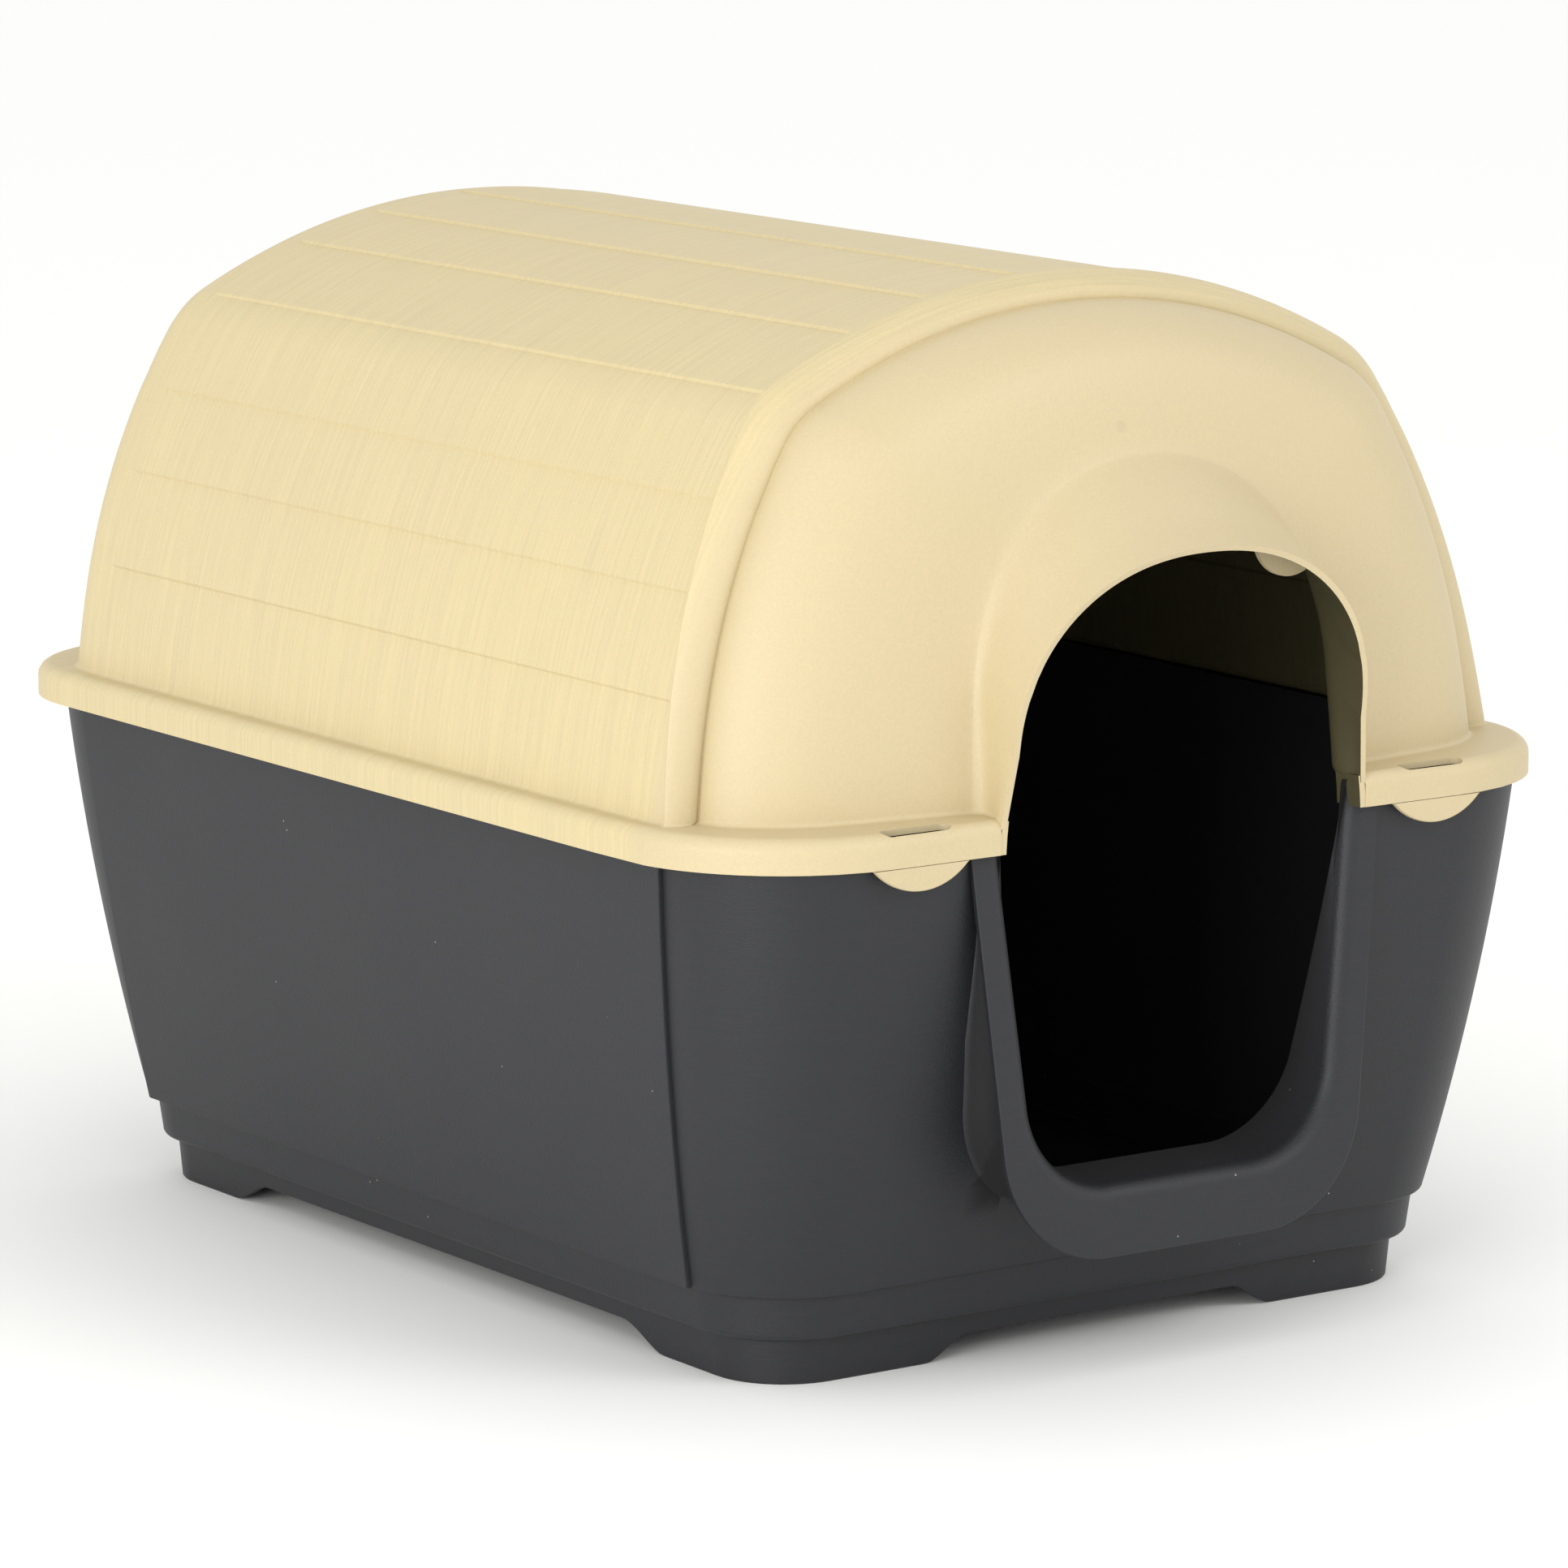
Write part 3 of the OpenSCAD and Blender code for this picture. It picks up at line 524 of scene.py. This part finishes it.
# ------------------------------------------------------------------ roof
# The upper half is one moulding in beige polypropylene: lapped boards along a barrel, a raised
# collar, a smooth front cap, and a hood that comes forward round the doorway.
def beige_plastic(name, dark, light):
    """The same resin in beige: hairlines from the tool run over the boards, fine grain elsewhere."""
    material, tree, shader = new_material(name)
    place = add_node(tree, "ShaderNodeTexCoord").outputs["Object"]
    parts = add_node(tree, "ShaderNodeSeparateXYZ", links={"Vector": place})
    grain = add_node(tree, "ShaderNodeTexNoise", inputs={"Scale": 700.0, "Detail": 3.0, "Roughness": 0.65},
                     links={"Vector": place})
    cloud = add_node(tree, "ShaderNodeTexNoise", inputs={"Scale": 6.0, "Detail": 4.0, "Roughness": 0.5},
                     links={"Vector": place})
    hair = add_node(tree, "ShaderNodeTexNoise", inputs={"Scale": 1.0, "Detail": 4.0, "Roughness": 0.7},
                    links={"Vector": stretched(tree, place, (14.0, 650.0, 14.0))})
    on_boards = add_node(tree, "ShaderNodeMapRange", inputs={"From Min": -0.262, "From Max": -0.25,
                                                             "To Min": 0.0, "To Max": 1.0},
                         links={"Value": parts.outputs["Y"]})
    hair_part = add_node(tree, "ShaderNodeMath", {"operation": "MULTIPLY"},
                         links={0: hair.outputs["Fac"], 1: on_boards.outputs[0]})
    hair_lines = add_node(tree, "ShaderNodeMapRange", inputs={"From Min": 0.36, "From Max": 0.64,
                                                              "To Min": -0.5, "To Max": 0.5},
                          links={"Value": hair.outputs["Fac"]})
    lines_part = add_node(tree, "ShaderNodeMath", {"operation": "MULTIPLY"},
                          links={0: hair_lines.outputs[0], 1: on_boards.outputs[0]})
    tone = add_node(tree, "ShaderNodeMath", {"operation": "MULTIPLY_ADD"}, {1: 0.4},
                    {0: cloud.outputs["Fac"], 2: hair_part.outputs[0]})
    tone2 = add_node(tree, "ShaderNodeMath", {"operation": "MULTIPLY_ADD"}, {1: 0.35},
                     {0: grain.outputs["Fac"], 2: tone.outputs[0]})
    ramp = add_node(tree, "ShaderNodeValToRGB", links={"Fac": tone2.outputs[0]})
    ramp.color_ramp.elements[0].position = 0.3
    ramp.color_ramp.elements[0].color = linear(dark)
    ramp.color_ramp.elements[1].position = 0.95
    ramp.color_ramp.elements[1].color = linear(light)
    fine = add_node(tree, "ShaderNodeMath", {"operation": "MULTIPLY_ADD"}, {1: 0.08, 2: 0.94},
                    {0: lines_part.outputs[0]})
    value = add_node(tree, "ShaderNodeMath", {"operation": "MULTIPLY_ADD"}, {1: 0.12},
                     {0: grain.outputs["Fac"], 2: fine.outputs[0]})
    # The injection point leaves a faint round mark high on the front face.
    across = add_node(tree, "ShaderNodeCombineXYZ", links={"X": parts.outputs["X"], "Z": parts.outputs["Z"]})
    from_gate = add_node(tree, "ShaderNodeVectorMath", {"operation": "DISTANCE"}, {1: (-0.012, 0.0, 0.4475)},
                         {0: across.outputs[0]})
    gate = add_node(tree, "ShaderNodeMapRange", inputs={"From Min": 0.0018, "From Max": 0.0036,
                                                        "To Min": 0.07, "To Max": 0.0},
                    links={"Value": from_gate.outputs["Value"]})
    at_front = add_node(tree, "ShaderNodeMath", {"operation": "SUBTRACT", "use_clamp": True}, {0: 1.0},
                        {1: on_boards.outputs[0]})
    gate_part = add_node(tree, "ShaderNodeMath", {"operation": "MULTIPLY"},
                         links={0: gate.outputs[0], 1: at_front.outputs[0]})
    less = add_node(tree, "ShaderNodeMath", {"operation": "SUBTRACT"},
                    links={0: value.outputs[0], 1: gate_part.outputs[0]})
    toned = add_node(tree, "ShaderNodeHueSaturation",
                     links={"Color": ramp.outputs[0], "Value": less.outputs[0]})
    tree.links.new(toned.outputs[0], shader.inputs["Base Color"])
    rough = add_node(tree, "ShaderNodeMapRange", inputs={"To Min": 0.42, "To Max": 0.56},
                     links={"Value": cloud.outputs["Fac"]})
    tree.links.new(rough.outputs[0], shader.inputs["Roughness"])
    height = add_node(tree, "ShaderNodeMath", {"operation": "MULTIPLY_ADD"}, {1: 0.6},
                      {0: lines_part.outputs[0], 2: grain.outputs["Fac"]})
    bump = add_node(tree, "ShaderNodeBump", inputs={"Strength": 0.3, "Distance": 0.0005},
                    links={"Height": height.outputs[0]})
    tree.links.new(bump.outputs[0], shader.inputs["Normal"])
    shader.inputs["IOR"].default_value = 1.49
    return material


beige = beige_plastic("beige polypropylene", "#C4B48F", "#CABA8E")
# The inner side is painted shade: the same resin drawn much darker, for the shade inside the roof.
beige_painted_shade = beige_plastic("beige polypropylene, painted shade inside", "#4C4730", "#5C563C")


shelf_z = 274.5
crown_z = 513.2
# Outline of the barrel as tangent arcs: (radius, normal angle at the lower end).
arcs = ((349.7, 61.5), (54.3, 32.3), (371.0, 8.0), (1018.0, None))
seam_angles = (87.0, 78.0, 70.1, 56.2, 26.9, 19.9, 12.1)
lap = 1.3


def barrel_outline(columns):
    """Half outline from crown to foot: rows of (x, z, normal x, normal z, share of the lap)."""
    centre = np.array([0.0, crown_z - arcs[0][0]])
    pieces, start = [], 90.0
    for i, (r, stop) in enumerate(arcs):
        if stop is None:
            stop = math.degrees(math.asin((shelf_z - centre[1]) / r))
        pieces.append((centre.copy(), r, start, stop))
        if i + 1 < len(arcs):
            way = np.array([math.cos(math.radians(stop)), math.sin(math.radians(stop))])
            centre = centre + (r - arcs[i + 1][0]) * way
        start = stop
    foot_angle = pieces[-1][3]

    def at(angle):
        for c, r, a0, a1 in pieces:
            if angle >= a1 - 1e-9:
                break
        n = np.array([math.cos(math.radians(angle)), math.sin(math.radians(angle))])
        return c + r * n, n, r

    bounds = [90.0] + list(seam_angles) + [foot_angle]
    rows = [(90.0, 0.0)]
    for top, low in zip(bounds, bounds[1:]):
        p0, _, _ = at(top)
        p1, _, _ = at(low)
        count = max(3, int(round(np.linalg.norm(p1 - p0) / columns)))
        first = 0.0
        if top != 90.0:
            step = math.degrees(lap * 0.9 / at(top - 0.01)[2])
            rows.append((top - step, 0.0))
            first = step
        for k in range(1, count + 1):
            t = k / count
            rows.append((top - first + (low - top + first) * t, t))
    out = []
    for angle, share in rows:
        p, n, _ = at(angle)
        out.append((p[0], p[1], n[0], n[1], share))
    return np.array(out)


outline = barrel_outline(7.0)
arc_length = np.concatenate([[0], np.cumsum(np.linalg.norm(np.diff(outline[:, :2], axis=0), axis=1))])
along = arc_length / arc_length[-1]
barrel_half = outline[-1, 0]


def arch_outline(half, foot_half, spring, top, foot_z, power):
    """Doorway arch sampled like the barrel, crown to foot: straight legs under a squared round head."""
    head_share, leg_share = 0.72, 0.28
    points = []
    for t in along:
        if t < head_share:
            u = math.radians(90 * (1 - t / head_share))
            points.append((half * math.cos(u) ** (2 / power),
                           spring + (top - spring) * math.sin(u) ** (2 / power)))
        else:
            s = (t - head_share) / leg_share
            points.append((half + (foot_half - half) * s, spring + (foot_z - spring) * s))
    return np.array(points)


def station(y, side_inset, crown_inset, lean, lap_share=0.0, bead=0.0, morph=0.0, goal=None):
    """One row of the skin, crown to foot on the right half, in millimetres."""
    x = outline[:, 0] + outline[:, 2] * (lap * lap_share * outline[:, 4] + bead)
    z = outline[:, 1] + outline[:, 3] * (lap * lap_share * outline[:, 4] + bead)
    x = x * (1 - side_inset / barrel_half)
    z = shelf_z + (z - shelf_z) * (1 - crown_inset / (crown_z - shelf_z))
    if goal is not None:
        x = x + (goal[:, 0] - x) * morph
        z = z + (goal[:, 1] - z) * morph
    return np.stack([x, y + lean * (z - shelf_z) / (crown_z - shelf_z), z], axis=1)


def ease(t):
    t = min(max(t, 0.0), 1.0)
    return t * t * (3 - 2 * t)


back_y, back_len, back_side, back_crown = 333.0, 60.0, 90.0, 135.0
skin = []
for k in range(16):
    a = math.radians(90 * (1 - k / 15))
    skin.append(station(back_y - back_len * (1 - math.sin(a)), back_side * (1 - math.cos(a)),
                        back_crown * (1 - math.cos(a)), 0))
for y, share in ((268, 0.0), (264, 0.3), (260, 0.75), (256, 0.95), (250, 1.0)):
    skin.append(station(y, 0, 0, 0, share))
collar_y, collar_lean = -264.2, 30.3
for t in np.linspace(0, 1, 15)[1:]:
    y = 250 + (collar_y - 250) * t
    skin.append(station(y, 0, 0, collar_lean * ease((t - 0.1) / 0.9) if t < 1 else collar_lean, 1.0))
# The collar: a rounded bead that runs round the front end of the boards, then a crease. Each row
# gives y, the inset at the side, the inset at the crown, the lean and the height of the bead.
collar_rows = ((-264.5, 0.0, 0.0, 30.3, 1.2), (-265.2, 0.0, 0.0, 30.0, 2.0), (-266.2, 0.0, 0.0, 28.6, 2.3),
               (-267.2, 1.0, 0.4, 27.0, 2.2), (-268.4, 3.0, 1.2, 24.0, 1.8), (-269.4, 6.0, 2.6, 20.5, 1.2),
               (-269.7, 9.5, 4.6, 16.5, 0.6), (-269.0, 12.6, 7.0, 13.8, 0.0), (-267.6, 14.8, 9.4, 12.0, 0.0),
               (-266.8, 15.6, 10.4, 11.4, 0.0), (-267.0, 15.9, 10.6, 11.3, 0.0))
for y, side_inset, crown_inset, lean, bead in collar_rows:
    skin.append(station(y, side_inset, crown_inset, lean, 0.0, bead))
# The cap turns over a large radius into the front face, which runs to the valley round the hood.
valley_half, valley_top = 104.0, 431.0
valley_foot_half, valley_spring, valley_power = 104.5, 318.0, 2.1
valley = arch_outline(valley_half, valley_foot_half, valley_spring, valley_top, shelf_z, valley_power)
cap_y, valley_y = -267.2, -325.0
cap_side, cap_crown, cap_lean, valley_lean = 15.9, 10.6, 11.3, 20.0
turn = 0.55
cap_rows = [turn * (1 - math.cos(math.radians(90 * k / 14))) for k in range(1, 15)]
cap_rows += [turn + (1 - turn) * k / 12 for k in range(1, 13)]
for share in cap_rows:
    round_part = math.sqrt(max(0.0, 1 - (1 - min(share / turn, 1)) ** 2))
    forward = 0.62 * round_part + 0.38 * share
    skin.append(station(cap_y + (valley_y - cap_y) * forward,
                        cap_side + (barrel_half - valley_half - cap_side) * share,
                        cap_crown + (crown_z - valley_top - cap_crown) * share,
                        cap_lean + (valley_lean - cap_lean) * share,
                        morph=ease((share - 0.25) / 0.75), goal=valley))
valley_row = len(skin) - 1
# The hood runs forward from the valley to the lip, which leans out at the top.
lip_front, lip_lean, lip_top, lip_spring = -341.5, 18.0, 396.0, 305.0
lip_half, lip_foot_half, lip_power = 105.0, 109.0, 2.2
lip = arch_outline(lip_half, lip_foot_half, lip_spring, lip_top, shelf_z, lip_power)
lip_y = lip_front - lip_lean * (lip[:, 1] - shelf_z) / (lip_top - shelf_z)
lip_row = np.stack([lip[:, 0], lip_y, lip[:, 1]], axis=1)
hood_dip = 3.5
for k in range(1, 11):
    t = k / 10
    row = skin[valley_row] + (lip_row - skin[valley_row]) * t
    row[:, 2] -= hood_dip * math.sin(math.pi * t) * np.clip((lip[:, 1] - lip_spring) / 90.0, 0, 1)
    skin.append(row)
skin = np.array(skin)
# The valley is a soft fillet: its rows are averaged along the length.
valley_passes = 16
for _ in range(valley_passes):
    for j in range(valley_row - 5, valley_row + 6):
        skin[j] = 0.25 * skin[j - 1] + 0.5 * skin[j] + 0.25 * skin[j + 1]

# The shelf and the skirt run round the foot of the skin.
fillet, shelf_edge_r, fan_reach = 3.0, 7.0, 22.0
skirt_levels = (264.5, 261.0, skirt_z)
shelf_front, shelf_back = roof_back - roof_half[1], roof_back + roof_half[1]


def shelf_edge(x, y):
    """Nearest point of the skirt's outline to a point on the right half, spread out beside the hood."""
    r = front_corner if y < 0 else back_corner
    cy = shelf_front + r if y < 0 else shelf_back - r
    cx = roof_half[0] - r
    if y < cy and y < 0 or y > cy and y > 0:
        if x > cx:
            d = math.hypot(x - cx, y - cy)
            return cx + (x - cx) * r / d, cy + (y - cy) * r / d
        spread = max(0.0, y - lip_front) if y < 0 else 0.0
        fade = math.exp(-max(0.0, x - lip_foot_half) / fan_reach)
        fan = min(fan_reach, spread) * fade if y < 0 else 0.0
        return x + fan, shelf_front if y < 0 else shelf_back
    return roof_half[0], y


def shelf_height(inset):
    """Height of the shelf's top at a distance in from the skirt's face."""
    if inset >= shelf_edge_r:
        return shelf_z
    return shelf_z - shelf_edge_r + math.sqrt(max(0.0, shelf_edge_r ** 2 - (shelf_edge_r - inset) ** 2))


half_rows = len(outline)
points, faces = [], []


def add_point(p):
    points.append((p[0] * MM, p[1] * MM, p[2] * MM))
    return len(points) - 1


# Skin grid: right foot, crown, left foot, with the foot cut short for the fillet. The shelf's
# outline is followed steadily forwards, although the collar's bead turns back on itself.
grid = []
guide_y = {}
last_y = 1e9
for row in skin:
    foot = row[-1]
    last_y = min(foot[1], last_y - 0.25)
    guide_y[round(foot[0], 4), round(foot[1], 4)] = last_y
    sx, sy = shelf_edge(foot[0], last_y)
    room = math.hypot(sx - foot[0], sy - foot[1])
    base_z = shelf_height(room)
    lift = min(fillet, 0.4 * room + 0.3)
    scaled = row.copy()
    span = row[:, 2] - shelf_z
    low = np.clip(1 - span / 40.0, 0, 1)
    scaled[:, 2] = row[:, 2] + (base_z + lift - shelf_z) * low
    right = [add_point(p) for p in scaled[::-1]]
    left = [add_point((-p[0], p[1], p[2])) for p in scaled[1:]]
    grid.append(right + left)
for j in range(len(grid) - 1):
    for i in range(len(grid[0]) - 1):
        faces.append((grid[j][i], grid[j][i + 1], grid[j + 1][i + 1], grid[j + 1][i]))
# Back face: a ladder of rows between the two halves of the first station.
rungs = 24
ladder = []
count = len(grid[0])
for i in range(half_rows):
    a, b = grid[0][i], grid[0][count - 1 - i]
    if a == b:
        ladder.append([a])
        continue
    pa, pb = np.array(points[a]), np.array(points[b])
    middle = []
    for k in range(1, rungs):
        t = k / rungs
        p = pa + (pb - pa) * t
        middle.append(len(points))
        points.append(tuple(p))
    ladder.append([a] + middle + [b])
for i in range(half_rows - 1):
    lower, upper = ladder[i], ladder[i + 1]
    for k in range(rungs):
        if len(upper) == 1:
            faces.append((lower[k], lower[k + 1], upper[0]))
        else:
            faces.append((lower[k], lower[k + 1], upper[k + 1], upper[k]))
# Foot path: from the lip on the right, round the back, to the lip on the left.
path = [grid[j][0] for j in range(len(grid) - 1, -1, -1)]
path += ladder[0][1:-1]
path += [grid[j][-1] for j in range(len(grid))]
rings = []
for index in path:
    p = np.array(points[index]) / MM
    side = 1 if p[0] >= 0 else -1
    ex, ey = shelf_edge(abs(p[0]), guide_y.get((round(abs(p[0]), 4), round(p[1], 4)), p[1]))
    ex *= side
    room = math.hypot(ex - p[0], ey - p[1])
    way = np.array([ex - p[0], ey - p[1]]) / max(room, 1e-6)
    reach = min(fillet, 0.45 * room)
    corner_z = shelf_height(room)
    ring = [index]
    for k in range(1, 5):
        t = k / 4
        d = reach * t * t
        z = (1 - t) ** 2 * p[2] + 2 * t * (1 - t) * corner_z + t * t * shelf_height(room - reach)
        ring.append(add_point((p[0] + way[0] * d, p[1] + way[1] * d, z)))
    turn_d = max(room - shelf_edge_r, reach)
    for k in range(1, 3):
        d = reach + (turn_d - reach) * k / 2
        ring.append(add_point((p[0] + way[0] * d, p[1] + way[1] * d, shelf_height(room - d))))
    left_over = room - turn_d
    for k in range(1, 8):
        a = math.radians(90 * k / 7)
        d = turn_d + left_over * math.sin(a)
        ring.append(add_point((p[0] + way[0] * d, p[1] + way[1] * d, shelf_height(room - d))))
    for z in skirt_levels:
        ring.append(add_point((ex, ey, z)))
    rings.append(ring)
for j in range(len(rings) - 1):
    for i in range(len(rings[0]) - 1):
        faces.append((rings[j][i], rings[j][i + 1], rings[j + 1][i + 1], rings[j + 1][i]))

roof = make_object("roof_moulding", points, faces)


def largest_faces_out(made, inside_point):
    """Turns an open shell so that its faces look away from a point inside it."""
    score = 0.0
    for face in made.data.polygons:
        score += face.area * (face.center - inside_point).dot(face.normal)
    if score < 0:
        made.data.flip_normals()


largest_faces_out(roof, Vector((0, 0, 0.3)))
shell = roof.modifiers.new("wall", "SOLIDIFY")
shell.thickness = wall * MM
shell.offset = -1
shell.use_even_offset = False
# The shell's inner faces take the darker beige, which is painted shade.
shell.material_offset = 1
roof.data.materials.append(beige)
roof.data.materials.append(beige_painted_shade)
bake(roof)

# A slot goes through the shelf over each latch tab.
slot_l, slot_w, slot_x, slot_y = 39.0, 8.0, 153.9, -335.5


def slot_cutter(side):
    r = slot_w / 2
    pts = []
    for s, a0 in ((1, -90), (-1, 90)):
        for k in range(9):
            a = math.radians(a0 + 180 * k / 8)
            pts.append((side * slot_x + s * (slot_l / 2 - r) + r * math.cos(a), slot_y + r * math.sin(a)))
    return closed_loft("slot", [[(x, y, z) for x, y in pts] for z in (266, 285)])


lug_x, lug_z, lug_r, lug_y, lug_t = 71.5, 393.0, 21.0, -325.5, 2.6
# The inside of the hood where the lugs are, as a squared ellipse.
hood_half, hood_rise, hood_spring, hood_power = 101.0, 98.0, 314.0, 2.1


def lug(side):
    """Thin ear under the hood for hanging a flap, trimmed where it would leave the hood."""
    pts = []
    for k in range(48):
        a = math.radians(7.5 * k)
        x, z = lug_x + lug_r * math.cos(a), lug_z + lug_r * math.sin(a)
        reach = (abs(x) / hood_half) ** hood_power + (max(z - hood_spring, 0) / hood_rise) ** hood_power
        pull = min(1.0, reach ** (-1 / hood_power))
        pts.append((side * x * pull, hood_spring + (z - hood_spring) * pull))
    return closed_loft("lug", [[(x, y, z) for x, z in pts] for y in (lug_y, lug_y - lug_t)])


def jamb(side):
    """Reveal beside the doorway, behind the lip and down to the skirt's lower edge."""
    front, back, overlap = -341.6, -325.0, 0.4
    sections = []
    for z, x in ((skirt_z, lip_foot_half), (skirt_z + 8, 108.5), (shelf_z - 0.8, 107.6)):
        sections.append([(side * (x - wall), front, z), (side * (x + overlap), front, z),
                         (side * (x + overlap), back, z), (side * (x - wall), back + 1.0, z)])
    piece = closed_loft("jamb", sections)
    piece.data.materials.append(beige)
    piece.data.materials.append(beige_painted_shade)
    # Only the front faces keep the beige; the others take the darker beige as painted shade.
    for face in piece.data.polygons:
        face.material_index = 0 if face.normal.y < -0.5 else 1
    return piece


combine(roof, [slot_cutter(1), slot_cutter(-1)], "DIFFERENCE")
combine(roof, [lug(1), lug(-1), jamb(1), jamb(-1)], "UNION")
edges = roof.modifiers.new("edges", "BEVEL")
edges.width = 0.9 * MM
edges.segments = 2
edges.limit_method = "ANGLE"
edges.angle_limit = math.radians(65)
bake(roof)
smooth_by_angle(roof, 30)
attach(roof, "roof")
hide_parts("roof")


# ------------------------------------------------------------------ latch tabs
# A thumb tab hangs from the skirt on each side of the doorway, moulded in one with the roof and
# flexing at a thin fold.
for side, node, body in ((-1, "latch_tab_left", "latch_left"), (1, "latch_tab_right", "latch_right")):
    low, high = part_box(node)
    width, drop = (high[0] - low[0]) / MM, (high[2] - low[2]) / MM
    middle = (high[0] + low[0]) / 2 / MM
    r = ((width / 2) ** 2 + drop ** 2) / (2 * drop)
    top, foot = high[2] / MM, low[2] / MM
    half_angle = math.asin(min(1.0, width / 2 / r))
    turns = [half_angle * (2 * k / 40 - 1) for k in range(41)]
    rim_points = [(r * math.sin(a), foot + r * (1 - math.cos(a))) for a in turns]
    front, back = low[1] / MM, high[1] / MM
    rows = []
    for y, inset in ((front, 1.0), (front + 0.3, 0.3), (front + 1.0, 0.0), (back - 0.5, 0.0), (back, 0.5)):
        rows.append([(middle + x * (1 - inset / (width / 2)), y, min(top, z + inset)) for x, z in rim_points])
    tab = closed_loft(node + "_moulding", rows)
    smooth_by_angle(tab, 35)
    tab.data.materials.append(beige)
    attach(tab, body)
    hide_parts(node)

# ------------------------------------------------------------------ studio
# A pale floor under the shelter, two soft boxes, an even white surround, and the camera.
target = Vector((0.0083, 0.0029, 0.2288))
azimuth, elevation, distance = math.radians(-34.903), math.radians(10.203), 3.8191
away = Vector((math.sin(azimuth) * math.cos(elevation), -math.cos(azimuth) * math.cos(elevation),
               math.sin(elevation)))
camera_data = bpy.data.cameras.new("camera")
camera_data.lens, camera_data.sensor_width = 171.4, 36.0
camera = bpy.data.objects.new("camera", camera_data)
camera.location = target + away * distance
camera.rotation_euler = (-away).to_track_quat("-Z", "Y").to_euler()
bpy.context.scene.collection.objects.link(camera)
bpy.context.scene.camera = camera

floor_mesh = bpy.data.meshes.new("studio_floor")
size = 30.0
floor_corners = [(-size, -size, 0), (size, -size, 0), (size, size, 0), (-size, size, 0)]
floor_mesh.from_pydata(floor_corners, [], [(0, 1, 2, 3)])
floor = bpy.data.objects.new("studio_floor", floor_mesh)
bpy.context.scene.collection.objects.link(floor)
floor_material, _, floor_shader = new_material("pale studio floor")
floor_shader.inputs["Base Color"].default_value = linear("#FCFCFA")
floor_shader.inputs["Roughness"].default_value = 0.9
floor.data.materials.append(floor_material)


def soft_box(name, spot, aim, width, height, power):
    lamp_data = bpy.data.lights.new(name, "AREA")
    lamp_data.shape = "RECTANGLE"
    lamp_data.size, lamp_data.size_y, lamp_data.energy = width, height, power
    lamp = bpy.data.objects.new(name, lamp_data)
    lamp.location = spot
    lamp.rotation_euler = (Vector(aim) - Vector(spot)).to_track_quat("-Z", "Y").to_euler()
    bpy.context.scene.collection.objects.link(lamp)


soft_box("key", (-3.2, -1.6, 0.9), (0, 0, 0.25), 2.2, 1.4, 62)
soft_box("front", (1.2, -2.8, 2.2), (0, 0, 0.3), 1.6, 1.2, 24)
world = bpy.data.worlds.new("studio")
world.use_nodes = True
world.node_tree.nodes["Background"].inputs["Color"].default_value = (1, 1, 1, 1)
world.node_tree.nodes["Background"].inputs["Strength"].default_value = 1.0
bpy.context.scene.world = world
bpy.context.scene.view_settings.view_transform = "Standard"
